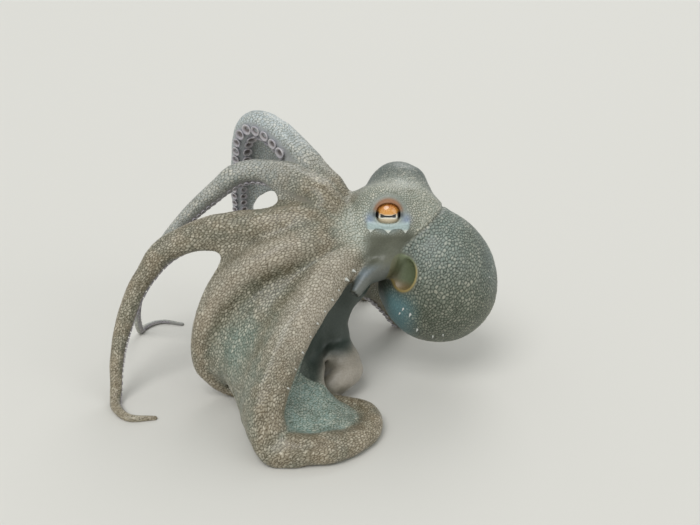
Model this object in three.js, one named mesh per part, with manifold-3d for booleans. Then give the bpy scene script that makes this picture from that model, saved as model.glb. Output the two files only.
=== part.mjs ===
// A common octopus resting with its arms spread and curled, modelled at life size.
// Units are millimetres and +Z is up. The head looks along -Y with its left eye, the eight arms
// leave the crown towards -X, and the mantle sac hangs on the +X side of the head.
//
// The flesh is divided where a person would name its parts: mantle, head, crown, funnel, two
// eyes, eight arms in three to five lengths each, and the web between each two arms.
// Every shape function takes `grow`, which makes the same form that much larger all round.
// A later form is cut by the grown copies of its neighbours, so touching pieces keep a thin gap.

import * as THREE from 'three';
import { mergeVertices } from 'three/addons/utils/BufferGeometryUtils.js';
import Module from 'manifold-3d';

const wasm = await Module();
wasm.setup();

// ---- driving dimensions -------------------------------------------------------------------

const GAP = 0.3;                 // left between pieces that touch
const FLAT_DEPTH = 0.6;          // how much of an arm's round underside its resting flat takes
const ARM_SIDES = 8;             // sides of an arm's section
const TIP_SIDES = 6;             // and of its last length
const RING_STEP = 6.3;           // distance between sections where the arm is thinnest
const RING_STEP_RISE = 0.8;      // and how much it rises with the arm's radius
const TIP_RADIUS = 1.4;          // an arm's radius at its very end
const ORAL_FLATTENING = 0.16;    // how much flatter an arm is on the side that carries suckers
const LANDING_RUN = 20;          // length over which an arm settles onto the floor

const MOUTH = new THREE.Vector3(-6, 12, 80);            // centre of the ring of arms
const ORAL_AXIS = new THREE.Vector3(-0.79, -0.16, -0.59).normalize();
const CROWN_RADIUS = 9;          // from the mouth's axis to the root of each arm
const CROWN_CORE = 22;           // radius of the flesh round the mouth
const CROWN_REACH = 28;          // length of each arm root that belongs to the crown

const MANTLE_CENTRE = new THREE.Vector3(51, 16, 61.5);
const MANTLE_RADII = new THREE.Vector3(34.5, 33, 40);
const MANTLE_LEAN = 0.16;        // radians, the sac's blunt end leans away from the arms
const MANTLE_FULLNESS = 0.1;     // how much wider the sac is towards its blunt end

// The head is a thick bent form, from the crown past the eyes and into the mantle's mouth.
const HEAD_ROUTE = [[-5, 13, 82], [8, 15, 90], [21, 17, 95.5], [34, 18, 95], [45, 18, 90]];
const HEAD_RADII = [15, 20, 22, 21, 14];

const EYE_RADIUS = 8;
const LID_RADIUS = 6.2;          // radius of the opening between the lids
const LID_FLARE = 1.25;          // how much wider that opening is at the outside of the head
const LID_NECK = 0.8;            // and how much narrower it is at the eyeball
const LID_START = 1;             // how far outside the eyeball's centre it starts
const LID_DEPTH = 20;
const EYES = {
  left: {
    centre: new THREE.Vector3(21, 3, 104.5),
    looks: new THREE.Vector3(-0.03, -0.96, 0.27).normalize(),
    mound: new THREE.Vector3(21.5, 9.5, 103.5),
    moundRadius: 14.6,
  },
  right: {
    centre: new THREE.Vector3(30, 44.5, 109),
    looks: new THREE.Vector3(0.12, 0.95, 0.28).normalize(),
    mound: new THREE.Vector3(28, 34, 106.5),
    moundRadius: 18,
  },
};

// The shallow hollow where the mantle takes water in: its radii are across, in and up.
const OPENING_CENTRE = new THREE.Vector3(28, -7, 72.5);
const OPENING_RADII = new THREE.Vector3(9, 6, 10);
const OPENING_FACES = new THREE.Vector3(-0.42, -0.87, 0.22).normalize();

// The funnel is broad under the neck and narrows to a spout beside the arms.
const FUNNEL_ROUTE = [[23, 6, 82], [18, -1, 75], [9.5, -11, 72], [3, -18, 65.5]];
const FUNNEL_RADII = [11, 8, 4.8, 2.8];
const FUNNEL_BORE = 1.6;
const FUNNEL_BORE_DEPTH = 9;

// Each arm leaves the crown at `angle` degrees round the mouth, 0 being uppermost.
// `route` is its centre line after the root. A place given by x and y alone lies on the floor,
// at the height of the arm's own radius. `lengths` are the shares of the arm's whole length
// at which it is parted, after its root.
const ARMS = {
  right_1: {
    angle: 22.5, radius: 10.5, taper: 0.9, lengths: [0.34, 0.56, 0.76],
    route: [[-11, 22, 108], [-23, 35, 120], [-35, 46, 131], [-46, 54, 139], [-56, 61, 141],
      [-63, 67, 135], [-67, 76, 118], [-72, 92, 84], [-69, 106, 48], [-60, 116, 22],
      [-49, 123, 8], [-34, 130], [-12, 134], [6, 144], [14, 160]],
  },
  left_1: {
    angle: -22.5, radius: 9.5, taper: 1.15, lengths: [0.32, 0.52, 0.74],
    route: [[-14, 9, 107], [-27, 20, 115], [-38, 28, 118], [-52, 35, 119], [-67, 38, 115],
      [-82, 38, 104], [-97, 37, 91], [-111, 36, 74], [-128, 42, 50], [-137, 50, 24],
      [-139, 58, 10], [-138, 68], [-129, 77], [-114, 74]],
  },
  left_2: {
    angle: -67.5, radius: 10.5, taper: 0.85, lengths: [0.33, 0.54, 0.76],
    route: [[-17, 2, 96], [-31, 2, 98], [-46, 2, 97], [-62, 6, 95], [-78, 9, 92], [-94, 10, 86],
      [-108, 7, 77], [-121, 0, 60], [-131, -10, 32], [-133, -20, 13], [-131, -32], [-121, -43],
      [-107, -42]],
  },
  left_3: {
    angle: -112.5, radius: 10.5, taper: 0.75, lengths: [0.36, 0.56, 0.76],
    route: [[-15, -4, 89], [-28, -12, 87], [-43, -16, 83], [-58, -19, 75], [-70, -21, 64],
      [-79, -22, 48], [-83, -21, 33], [-81, -19, 18], [-72, -17, 9], [-58, -16],
      [-46, -8], [-49, 6], [-63, 9]],
  },
  left_4: {
    angle: -157.5, radius: 11, taper: 0.55, lengths: [0.34, 0.48, 0.62, 0.8],
    route: [[-4, -4, 78], [-12, -17, 73], [-20, -29, 65], [-28, -42, 55], [-35, -54, 43],
      [-40, -64, 31], [-42, -73, 19], [-38, -79, 11], [-28, -81], [-13, -79], [2, -71],
      [11, -57], [9, -43], [-3, -34], [-17, -34], [-30, -37], [-43, -41], [-54, -35]],
  },
  right_4: {
    angle: 157.5, radius: 10.6, taper: 0.5, lengths: [0.42, 0.68],
    route: [[1, 6, 63], [-7, 4, 50], [-11, 2, 37], [-9, 0, 25], [-3, -5, 17], [-1, -13, 14],
      [-6, -20, 13], [-15, -22, 10], [-24, -17], [-29, -5], [-25, 8], [-13, 13], [-3, 14],
      [4, 7], [-3, 0]],
  },
  right_3: {
    angle: 112.5, radius: 10, taper: 0.75, lengths: [0.42, 0.7],
    route: [[6, 34, 62], [14, 50, 42], [24, 63, 22], [34, 72, 11], [46, 79], [61, 85],
      [76, 94], [82, 110], [74, 122], [64, 119]],
  },
  right_2: {
    angle: 67.5, radius: 10, taper: 0.75, lengths: [0.38, 0.7],
    route: [[-8, 42, 86], [-12, 62, 76], [-8, 84, 54], [-1, 101, 28], [7, 113, 13], [19, 123],
      [34, 131], [50, 141], [56, 156], [46, 166], [35, 161]],
  },
};
const LENGTH_NAMES = {
  3: ['base', 'middle', 'tip'],
  4: ['base', 'upper', 'lower', 'tip'],
  5: ['base', 'upper', 'middle', 'lower', 'tip'],
};

// The web between two neighbouring arms. `reach` is how far it runs down each of them, as a
// share of that arm's length, `lift` how far above each centre line it joins, as a share of
// the arm's radius, `notch` how deeply its free edge curves in, and `sag` how far it falls
// towards the mouth's side between the arms. Where the edge leaves the second arm before the
// web ends, `beyond` holds the places that it passes after that.
const WEB_THICKNESS = 3.2;
const WEB_ROOT = 14;             // where it starts, along each arm from its root
const WEB_ROWS = 7;              // parts that the sheet is drawn in, along the arms
const WEB_COLUMNS = 4;           // and across between them
const WEBS = [
  { arms: ['right_1', 'left_1'], reach: [0.3, 0.3], lift: [0.4, 0.4], notch: 0.42, sag: 4 },
  { arms: ['left_1', 'left_2'], reach: [0.3, 0.3], lift: [0.3, 0.4], notch: 0.42, sag: 3 },
  { arms: ['left_2', 'left_3'], reach: [0.5, 0.46], lift: [0.5, 0.55], notch: 0.3, sag: 4 },
  { arms: ['left_3', 'left_4'], reach: [0.7, 0.52], lift: [0.1, 0.55], notch: 0, sag: 6 },
  { arms: ['left_4', 'right_4'], reach: [0.8, 0.3], lift: [0, 0], notch: 0, sag: 3,
    beyond: [[-14, -16, 25], [-26, -18, 17], [-22, -28, 12]] },
  { arms: ['right_4', 'right_3'], reach: [0.35, 0.4], lift: [0.3, 0.3], notch: 0.4, sag: 4 },
  { arms: ['right_3', 'right_2'], reach: [0.42, 0.4], lift: [0.4, 0.4], notch: 0.35, sag: 5 },
  { arms: ['right_2', 'right_1'], reach: [0.42, 0.55], lift: [0.4, 0.4], notch: 0.35, sag: 5 },
];

// ---- materials ----------------------------------------------------------------------------

const skin = (colour) =>
  new THREE.MeshStandardMaterial({ color: colour, roughness: 0.55, metalness: 0 });
const MATERIALS = {
  arm: skin(0x9a9580),
  web: skin(0x7f8c7c),
  mantle: skin(0x8b9384),
  head: skin(0x97998a),
  funnel: skin(0x8d9490),
  eye: new THREE.MeshStandardMaterial({ color: 0xc9923a, roughness: 0.15, metalness: 0 }),
};

// ---- closed meshes and solids -------------------------------------------------------------

const Y_AXIS = new THREE.Vector3(0, 1, 0);
const WELD = 1e-4;               // corners nearer than this are one corner

function solidOf(geometry) {
  const bare = geometry.clone();
  bare.deleteAttribute('normal');
  bare.deleteAttribute('uv');
  const merged = mergeVertices(bare, WELD);
  return new wasm.Manifold(new wasm.Mesh({
    numProp: 3,
    vertProperties: new Float32Array(merged.attributes.position.array),
    triVerts: new Uint32Array(merged.index.array),
  }));
}

function geometryOf(solid) {
  const mesh = solid.getMesh();
  const geometry = new THREE.BufferGeometry();
  geometry.setAttribute('position', new THREE.BufferAttribute(mesh.vertProperties, 3));
  geometry.setIndex(new THREE.BufferAttribute(mesh.triVerts, 1));
  geometry.computeVertexNormals();
  return geometry;
}

// Joins rings of points, each with the same number, into one closed skin with flat ends.
function loft(rings) {
  const sides = rings[0].length;
  const positions = rings.flat().flatMap((p) => [p.x, p.y, p.z]);
  const first = rings[0].reduce((sum, p) => sum.add(p), new THREE.Vector3());
  const last = rings.at(-1).reduce((sum, p) => sum.add(p), new THREE.Vector3());
  first.divideScalar(sides);
  last.divideScalar(sides);
  positions.push(first.x, first.y, first.z, last.x, last.y, last.z);
  const firstHub = rings.length * sides;
  const lastHub = firstHub + 1;
  const index = [];
  for (let ring = 0; ring < rings.length - 1; ring++) {
    for (let side = 0; side < sides; side++) {
      const a = ring * sides + side;
      const b = ring * sides + (side + 1) % sides;
      index.push(a, b, b + sides, a, b + sides, a + sides);
    }
  }
  const lastStart = (rings.length - 1) * sides;
  for (let side = 0; side < sides; side++) {
    const next = (side + 1) % sides;
    index.push(firstHub, next, side);
    index.push(lastHub, lastStart + side, lastStart + next);
  }
  const geometry = new THREE.BufferGeometry();
  geometry.setAttribute('position', new THREE.Float32BufferAttribute(positions, 3));
  geometry.setIndex(index);
  return geometry;
}

function ball(centre, radius, across = 14, down = 9) {
  const geometry = new THREE.SphereGeometry(radius, across, down);
  geometry.translate(centre.x, centre.y, centre.z);
  return solidOf(geometry);
}

// A box that holds everything above the floor.
const SPACE = 1000;
function aboveFloor() {
  const geometry = new THREE.BoxGeometry(SPACE, SPACE, SPACE);
  geometry.translate(0, 0, SPACE / 2);
  return solidOf(geometry);
}

// ---- arms ---------------------------------------------------------------------------------

const crownUp = new THREE.Vector3(0, 0, 1);
crownUp.addScaledVector(ORAL_AXIS, -crownUp.dot(ORAL_AXIS)).normalize();
const crownSide = new THREE.Vector3().crossVectors(ORAL_AXIS, crownUp);

function armRoot(angle) {
  const turn = THREE.MathUtils.degToRad(angle);
  return MOUTH.clone()
    .addScaledVector(crownUp, CROWN_RADIUS * Math.cos(turn))
    .addScaledVector(crownSide, CROWN_RADIUS * Math.sin(turn));
}

// Adds to each arm its curve, its whole length, and the direction that its suckers face,
// carried along the curve without twist.
const FRAME_STEPS = 120;
const CURVE_STEPS = 600;
function prepareArm(arm) {
  const flat = arm.route.map(([x, y, z = 0]) => new THREE.Vector3(x, y, z));
  const run = [0];
  flat.forEach((p, n) => run.push(run[n] + p.distanceTo(flat[Math.max(0, n - 1)])));
  const route = arm.route.map(([x, y, z], n) => new THREE.Vector3(
    x, y, z ?? armRadius(arm, run[n + 1] / run.at(-1)) - FLAT_DEPTH));
  arm.landing = run[arm.route.findIndex((p) => p.length === 2) + 1] / run.at(-1);
  arm.curve = new THREE.CatmullRomCurve3([armRoot(arm.angle), ...route], false, 'centripetal');
  arm.curve.arcLengthDivisions = CURVE_STEPS;
  arm.total = arm.curve.getLength();
  arm.oral = [];
  const carried = ORAL_AXIS.clone();
  for (let step = 0; step <= FRAME_STEPS; step++) {
    const tangent = arm.curve.getTangentAt(step / FRAME_STEPS);
    carried.addScaledVector(tangent, -carried.dot(tangent)).normalize();
    arm.oral.push(carried.clone());
  }
}

const oralAt = (arm, share) => arm.oral[Math.round(share * FRAME_STEPS)].clone();

const armRadius = (arm, share) =>
  TIP_RADIUS + (arm.radius - TIP_RADIUS) * (1 - share) ** arm.taper;

// A section of an arm, round but for its flatter mouth side.
function armSection(arm, share, radius, sides) {
  const centre = arm.curve.getPointAt(share);
  const tangent = arm.curve.getTangentAt(share);
  const oral = oralAt(arm, share);
  oral.addScaledVector(tangent, -oral.dot(tangent)).normalize();
  const across = new THREE.Vector3().crossVectors(tangent, oral);
  return Array.from({ length: sides }, (_, side) => {
    const turn = 2 * Math.PI * side / sides;
    const facing = Math.cos(turn);
    const flatter = facing > 0 ? 1 - ORAL_FLATTENING * facing : 1;
    return centre.clone()
      .addScaledVector(oral, radius * flatter * facing)
      .addScaledVector(across, radius * flatter * Math.sin(turn));
  });
}

// The same section, lifted clear of the floor, or settled on it past the arm's landing.
function armRing(arm, share, grow, sides) {
  const radius = armRadius(arm, share);
  const lowest = Math.min(...armSection(arm, share, radius, sides).map((p) => p.z));
  const drop = -FLAT_DEPTH - lowest;
  const settled = THREE.MathUtils.smoothstep(
    share, arm.landing - LANDING_RUN / arm.total, arm.landing);
  const lift = drop > 0 ? drop : drop * settled;
  const ring = armSection(arm, share, radius + grow, sides);
  ring.forEach((point) => {
    point.z += lift;
  });
  return ring;
}

// One length of an arm, between two shares of its whole length. Grown, it keeps its sections
// where they are and reaches a little past both ends.
function armLength(arm, from, to, grow = 0) {
  const spacing = RING_STEP + RING_STEP_RISE * armRadius(arm, (from + to) / 2);
  const steps = Math.max(2, Math.round((to - from) * arm.total / spacing));
  const sides = to === 1 ? TIP_SIDES : ARM_SIDES;
  const shares = Array.from({ length: steps + 1 }, (_, step) => from + (to - from) * step / steps);
  shares[0] = Math.max(0, from - grow / arm.total);
  shares[steps] = Math.min(1, to + grow / arm.total);
  return solidOf(loft(shares.map((share) => armRing(arm, share, grow, sides))));
}

// ---- head, mantle and funnel --------------------------------------------------------------

// An egg-shaped sac: a turned outline, wider towards its blunt lower end.
const MANTLE_ROWS = 11;
const MANTLE_SIDES = 18;
function mantleSac(grow = 0) {
  const outline = [];
  for (let row = 0; row <= MANTLE_ROWS; row++) {
    const turn = Math.PI * row / MANTLE_ROWS;
    const swell = 1 + MANTLE_FULLNESS * Math.cos(turn);
    const out = row === 0 || row === MANTLE_ROWS ? 0 : Math.sin(turn) * swell;
    outline.push(new THREE.Vector2(out, -Math.cos(turn)));
  }
  const sac = new THREE.LatheGeometry(outline, MANTLE_SIDES);
  sac.rotateX(Math.PI / 2);
  sac.scale(MANTLE_RADII.x + grow, MANTLE_RADII.y + grow, MANTLE_RADII.z + grow);
  sac.rotateY(-MANTLE_LEAN);
  sac.translate(MANTLE_CENTRE.x, MANTLE_CENTRE.y, MANTLE_CENTRE.z);
  return solidOf(sac);
}

// Turns a shape made along +Y towards a direction, and moves its origin to a place.
function aim(geometry, direction, place) {
  geometry.applyQuaternion(new THREE.Quaternion().setFromUnitVectors(Y_AXIS, direction));
  geometry.translate(place.x, place.y, place.z);
  return solidOf(geometry);
}

const OPENING_FACETS = [14, 9];
function openingHollow() {
  const bowl = new THREE.SphereGeometry(1, ...OPENING_FACETS);
  bowl.scale(OPENING_RADII.x, OPENING_RADII.y, OPENING_RADII.z);
  return aim(bowl, OPENING_FACES.clone().negate(), OPENING_CENTRE);
}

// The opening between the lids of one eye: a short round plug from the eyeball outwards.
const LID_SIDES = 14;
function lidOpening(eye) {
  const plug = new THREE.CylinderGeometry(
    LID_RADIUS * LID_FLARE, LID_RADIUS * LID_NECK, LID_DEPTH, LID_SIDES);
  plug.translate(0, LID_DEPTH / 2 + LID_START, 0);
  return aim(plug, eye.looks, eye.centre);
}

const EYE_FACETS = [12, 8];
const eyeball = (eye, grow = 0) => ball(eye.centre, EYE_RADIUS + grow, ...EYE_FACETS);

const HEAD_STEPS = 5;
const HEAD_SIDES = 12;
function headForm(grow = 0) {
  let form = solidOf(loft(ringsAlong(HEAD_ROUTE, HEAD_RADII, HEAD_STEPS, HEAD_SIDES, grow)));
  for (const eye of Object.values(EYES)) {
    form = form.add(ball(eye.mound, eye.moundRadius + grow));
  }
  return form;
}

// The flesh round the mouth, with the root of every arm.
function crownForm(grow = 0) {
  let form = ball(MOUTH, CROWN_CORE + grow);
  for (const arm of Object.values(ARMS)) {
    form = form.add(armLength(arm, 0, CROWN_REACH / arm.total, grow));
  }
  return form;
}

const FUNNEL_STEPS = 5;
const FUNNEL_SIDES = 10;
const funnelTube = (grow = 0) =>
  solidOf(loft(ringsAlong(FUNNEL_ROUTE, FUNNEL_RADII, FUNNEL_STEPS, FUNNEL_SIDES, grow)));

// Round sections along a curved route, whose radii are spread evenly over its length.
function ringsAlong(route, radii, steps, sides, grow) {
  const curve = new THREE.CatmullRomCurve3(route.map((p) => new THREE.Vector3(...p)));
  const frames = curve.computeFrenetFrames(steps);
  return frames.normals.map((right, step) => {
    const place = step / steps * (radii.length - 1);
    const before = Math.min(Math.floor(place), radii.length - 2);
    const radius = grow + THREE.MathUtils.lerp(radii[before], radii[before + 1], place - before);
    return Array.from({ length: sides }, (_, side) => {
      const turn = 2 * Math.PI * side / sides;
      return curve.getPointAt(step / steps)
        .addScaledVector(right, radius * Math.cos(turn))
        .addScaledVector(frames.binormals[step], radius * Math.sin(turn));
    });
  });
}

// The blind hole in the funnel's tip.
function funnelBore() {
  const tip = new THREE.Vector3(...FUNNEL_ROUTE.at(-1));
  const before = new THREE.Vector3(...FUNNEL_ROUTE.at(-2));
  const way = tip.clone().sub(before).normalize();
  const bore = new THREE.CylinderGeometry(
    FUNNEL_BORE, FUNNEL_BORE, FUNNEL_BORE_DEPTH, FUNNEL_SIDES);
  return aim(bore, way, tip);
}

// ---- webs ---------------------------------------------------------------------------------

// The line along which a web joins an arm, down to a share of the arm's length.
const EDGE_STEPS = 8;
function webEdge(arm, reach, lift, beyond = []) {
  const points = [];
  for (let n = 0; n <= EDGE_STEPS; n++) {
    const share = THREE.MathUtils.lerp(WEB_ROOT / arm.total, reach, n / EDGE_STEPS);
    points.push(arm.curve.getPointAt(share)
      .addScaledVector(oralAt(arm, share), -lift * armRadius(arm, share)));
  }
  points.push(...beyond.map((p) => new THREE.Vector3(...p)));
  return new THREE.CatmullRomCurve3(points, false, 'centripetal');
}

// A curved sheet of flesh between two arms, as a grid of points with a thickness.
function webSheet(web, grow = 0) {
  const [first, second] = web.arms.map((name) => ARMS[name]);
  const firstEdge = webEdge(first, web.reach[0], web.lift[0]);
  const secondEdge = webEdge(second, web.reach[1], web.lift[1], web.beyond);
  const middle = [];
  for (let row = 0; row <= WEB_ROWS; row++) {
    for (let column = 0; column <= WEB_COLUMNS; column++) {
      const across = column / WEB_COLUMNS;
      const bow = Math.sin(Math.PI * across);
      const along = row / WEB_ROWS * (1 - web.notch * bow);
      const point = firstEdge.getPointAt(along).lerp(secondEdge.getPointAt(along), across);
      const oral = oralAt(first, along * web.reach[0])
        .lerp(oralAt(second, along * web.reach[1]), across).normalize();
      point.addScaledVector(oral, web.sag * bow * Math.min(1, along * 2));
      point.z = Math.max(point.z, WEB_THICKNESS / 2 - FLAT_DEPTH / 2);
      middle.push(point);
    }
  }
  return solidOf(thicken(middle, WEB_ROWS, WEB_COLUMNS, WEB_THICKNESS / 2 + grow));
}

// Gives a grid of points half a thickness to each side, and closes its four edges.
function thicken(middle, rows, columns, half) {
  const wide = columns + 1;
  const at = (row, column) => middle[
    THREE.MathUtils.clamp(row, 0, rows) * wide + THREE.MathUtils.clamp(column, 0, columns)];
  const sides = [1, -1].map((side) => middle.map((point, n) => {
    const row = Math.floor(n / wide);
    const column = n % wide;
    const down = at(row + 1, column).clone().sub(at(row - 1, column));
    const over = at(row, column + 1).clone().sub(at(row, column - 1));
    const normal = new THREE.Vector3().crossVectors(down, over).normalize();
    return point.clone().addScaledVector(normal, side * half);
  }));
  const count = middle.length;
  const index = [];
  for (let row = 0; row < rows; row++) {
    for (let column = 0; column < columns; column++) {
      const a = row * wide + column;
      const b = a + 1;
      const c = a + wide;
      const d = c + 1;
      index.push(a, c, b, b, c, d);
      index.push(count + a, count + b, count + c, count + b, count + d, count + c);
    }
  }
  const wall = (a, b) => index.push(a, b, count + b, a, count + b, count + a);
  for (let column = 0; column < columns; column++) {
    wall(column, column + 1);
    wall(rows * wide + column + 1, rows * wide + column);
  }
  for (let row = 0; row < rows; row++) {
    wall((row + 1) * wide, row * wide);
    wall(row * wide + columns, (row + 1) * wide + columns);
  }
  const geometry = new THREE.BufferGeometry();
  geometry.setAttribute('position', new THREE.Float32BufferAttribute(
    sides.flat().flatMap((p) => [p.x, p.y, p.z]), 3));
  geometry.setIndex(index);
  return geometry;
}

// ---- putting it together ------------------------------------------------------------------

const octopus = new THREE.Group();
const floorSpace = aboveFloor();
const neighbours = [];

const largest = (solid) =>
  solid.decompose().reduce((best, piece) => (piece.volume() > best.volume() ? piece : best));

const boxOf = (solid) => {
  const { min, max } = solid.boundingBox();
  return new THREE.Box3(new THREE.Vector3(...min), new THREE.Vector3(...max));
};

// Cuts a form by its grown neighbours and by the floor, and adds it as a named mesh.
function place(name, material, form, grown) {
  const box = boxOf(form);
  let solid = form.intersect(floorSpace);
  for (const neighbour of neighbours) {
    if (neighbour.box.intersectsBox(box)) {
      solid = solid.subtract(neighbour.solid);
    }
  }
  const mesh = new THREE.Mesh(geometryOf(largest(solid)), material);
  mesh.name = name;
  octopus.add(mesh);
  neighbours.push({ solid: grown, box: boxOf(grown) });
}

for (const arm of Object.values(ARMS)) {
  prepareArm(arm);
}

for (const [side, eye] of Object.entries(EYES)) {
  place(`eye_${side}`, MATERIALS.eye, eyeball(eye), eyeball(eye, GAP));
}

const lids = Object.values(EYES).map(lidOpening);
const openHead = (grow) => lids.reduce((form, lid) => form.subtract(lid), headForm(grow));
place('head', MATERIALS.head, openHead(0), headForm(GAP));
place('crown', MATERIALS.head, crownForm(), crownForm(GAP));
place('funnel', MATERIALS.funnel, funnelTube().subtract(funnelBore()), funnelTube(GAP));
place('mantle', MATERIALS.mantle, mantleSac().subtract(openingHollow()), mantleSac(GAP));

for (const [name, arm] of Object.entries(ARMS)) {
  const half = GAP / 2 / arm.total;
  const cuts = [CROWN_REACH / arm.total + 2 * half, ...arm.lengths, 1];
  const names = LENGTH_NAMES[cuts.length - 1];
  names.forEach((part, n) => {
    const from = n === 0 ? cuts[0] : cuts[n] + half;
    const to = n === names.length - 1 ? 1 : cuts[n + 1] - half;
    const form = armLength(arm, from, to);
    place(`arm_${name}_${part}`, MATERIALS.arm, form, armLength(arm, from, to, GAP));
  });
}

for (const web of WEBS) {
  const name = `web_${web.arms.join('_to_')}`;
  place(name, MATERIALS.web, webSheet(web), webSheet(web, GAP));
}

// The origin is the middle of the footprint's box, on the floor.
const whole = new THREE.Box3().setFromObject(octopus);
const shift = whole.getCenter(new THREE.Vector3()).setZ(whole.min.z).negate();
octopus.children.forEach((mesh) => mesh.geometry.translate(shift.x, shift.y, shift.z));

export default octopus;
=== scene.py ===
# %% [markdown]
# # An octopus at rest
#
# The animal sits with its head up, its mantle sac hanging behind the eyes, and eight arms that
# run down from the mouth to the floor. Its skin is one soft sheet, so it is made here as one
# closed surface. The eyes, the suckers and the small skin points are pieces of their own.
#
# All making is done in millimetres, with the same places as the solid model, and the finished
# meshes are moved into its frame, in metres, at the end.

# %% Load the solid model
import math

import bmesh
import bpy
import numpy as np
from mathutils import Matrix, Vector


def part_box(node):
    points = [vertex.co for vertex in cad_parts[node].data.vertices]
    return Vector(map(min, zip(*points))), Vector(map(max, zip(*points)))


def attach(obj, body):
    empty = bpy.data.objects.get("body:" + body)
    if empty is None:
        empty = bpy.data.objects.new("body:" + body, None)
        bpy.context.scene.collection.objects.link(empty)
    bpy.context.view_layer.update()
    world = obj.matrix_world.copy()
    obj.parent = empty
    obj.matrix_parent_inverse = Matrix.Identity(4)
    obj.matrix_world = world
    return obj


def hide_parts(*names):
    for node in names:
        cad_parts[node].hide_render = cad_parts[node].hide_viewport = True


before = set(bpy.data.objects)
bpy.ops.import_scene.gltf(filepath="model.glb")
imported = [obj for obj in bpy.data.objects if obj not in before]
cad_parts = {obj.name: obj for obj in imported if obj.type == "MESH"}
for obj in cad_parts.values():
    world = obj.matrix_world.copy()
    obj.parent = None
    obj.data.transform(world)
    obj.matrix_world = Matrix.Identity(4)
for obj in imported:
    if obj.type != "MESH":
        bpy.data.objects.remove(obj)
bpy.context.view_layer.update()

import openvdb
from mathutils import Matrix, Vector, kdtree

MM = 0.001
rng = np.random.default_rng(8)

# %% [markdown]
# ## Where things are
#
# The eyes, the mouth and the eight arms are known by their places. They could be read off the
# solid model's vertices, but a short list of named places is easier to follow and to change.
# The left eyeball's box tells how far the solid model's frame is shifted from these places.

# %% Eyes, mouth, head and mantle
EYES = {
    "left": {"centre": (21, 3, 104.5), "looks": (-0.03, -0.96, 0.27),
             "mound": (21.5, 9.5, 103.5), "swell": 14.6},
    "right": {"centre": (30, 44.5, 109), "looks": (0.12, 0.95, 0.28),
              "mound": (28, 34, 106.5), "swell": 18},
}
EYE_RADIUS = 8
MOUTH = np.array((-6, 12, 80.0))
CROWN_RADIUS = 9
CROWN_CORE = 22
HEAD_ROUTE = [(-5, 13, 82), (8, 15, 90), (21, 17, 95.5), (34, 18, 95), (45, 18, 90)]
HEAD_RADII = [15, 20, 22, 21, 14]
MANTLE_CENTRE = np.array((51, 16, 61.5))
MANTLE_RADII = np.array((34.5, 33, 40))
MANTLE_LEAN = 0.16
MANTLE_FULLNESS = 0.1
OPENING_CENTRE = np.array((28, -7, 72.5))
OPENING_RADII = np.array((9, 4.2, 10.0))
OPENING_FACES = (-0.42, -0.87, 0.22)
FUNNEL_ROUTE = [(23, 6, 82), (18, -1, 75), (9.5, -11, 72), (3, -18, 65.5)]
FUNNEL_RADII = [11, 8, 4.8, 2.8]
FUNNEL_BORE = 1.6


def unit(v):
    v = np.asarray(v, float)
    return v / np.maximum(np.linalg.norm(v, axis=-1, keepdims=True), 1e-9)


ORAL_AXIS = unit((-0.79, -0.16, -0.59))
low, high = (np.array(corner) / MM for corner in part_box("eye_left"))
shift = (low + high) / 2 - EYES["left"]["centre"]
print("frame shift in mm:", shift.round(2))

# %% Arms
# Angle round the mouth, radius at the root, taper, how far the arm is webbed, and its route.
# A place with no height lies on the floor.
ARMS = {
    "right_1": (22.5, 10.5, 0.9, 0.5, [
        (-11, 22, 108), (-23, 35, 120), (-35, 46, 131), (-46, 54, 139), (-56, 61, 141), (-63, 67, 135),
        (-67, 76, 118), (-72, 92, 84), (-69, 106, 48), (-60, 116, 22), (-49, 123, 8), (-34, 130),
        (-12, 134), (6, 144), (14, 160)]),
    "left_1": (-22.5, 9.5, 1.15, 0.32, [
        (-14, 9, 107), (-27, 20, 115), (-38, 28, 118), (-52, 35, 119), (-67, 38, 115), (-82, 38, 104),
        (-97, 37, 91), (-111, 36, 74), (-128, 42, 50), (-137, 50, 24), (-139, 58, 10), (-138, 68),
        (-129, 77), (-114, 74)]),
    "left_2": (-67.5, 10.5, 0.85, 0.5, [
        (-17, 2, 96), (-31, 2, 98), (-46, 2, 97), (-62, 6, 95), (-78, 9, 92), (-94, 10, 86), (-108, 7, 77),
        (-121, 0, 60), (-131, -10, 32), (-133, -20, 13), (-131, -32), (-121, -43), (-107, -42)]),
    "left_3": (-112.5, 10.5, 0.75, 0.68, [
        (-15, -4, 89), (-28, -12, 87), (-43, -16, 83), (-58, -19, 75), (-70, -21, 64), (-79, -22, 48),
        (-83, -21, 33), (-81, -19, 18), (-72, -17, 9), (-58, -16), (-46, -8), (-49, 6), (-63, 9)]),
    "left_4": (-157.5, 11, 0.55, 0.56, [
        (-4, -4, 78), (-12, -17, 73), (-20, -29, 65), (-28, -42, 55), (-35, -54, 43), (-40, -64, 31),
        (-42, -73, 19), (-38, -79, 11), (-28, -81), (-13, -79), (2, -71), (11, -57), (9, -43), (-3, -34),
        (-17, -34), (-30, -37), (-43, -41), (-54, -35)]),
    "right_4": (157.5, 10.6, 0.5, 0.27, [
        (1, 6, 63), (-7, 4, 50), (-11, 2, 37), (-9, 0, 25), (-3, -5, 17), (-1, -13, 14), (-6, -20, 13),
        (-15, -22, 10), (-24, -17), (-29, -5), (-25, 8), (-13, 13), (-3, 14), (4, 7), (-3, 0)]),
    "right_3": (112.5, 10, 0.75, 0.42, [
        (6, 34, 62), (14, 50, 42), (24, 63, 22), (34, 72, 11), (46, 79), (61, 85), (76, 94), (82, 110),
        (74, 122), (64, 119)]),
    "right_2": (67.5, 10, 0.75, 0.42, [
        (-8, 42, 86), (-12, 62, 76), (-8, 84, 54), (-1, 101, 28), (7, 113, 13), (19, 123), (34, 131),
        (50, 141), (56, 156), (46, 166), (35, 161)]),
}
TIP_RADIUS = 1.4
ORAL_FLATTENING = 0.16
FLAT_DEPTH = 0.6
LANDING_RUN = 20
STATION = 3.0
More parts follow.
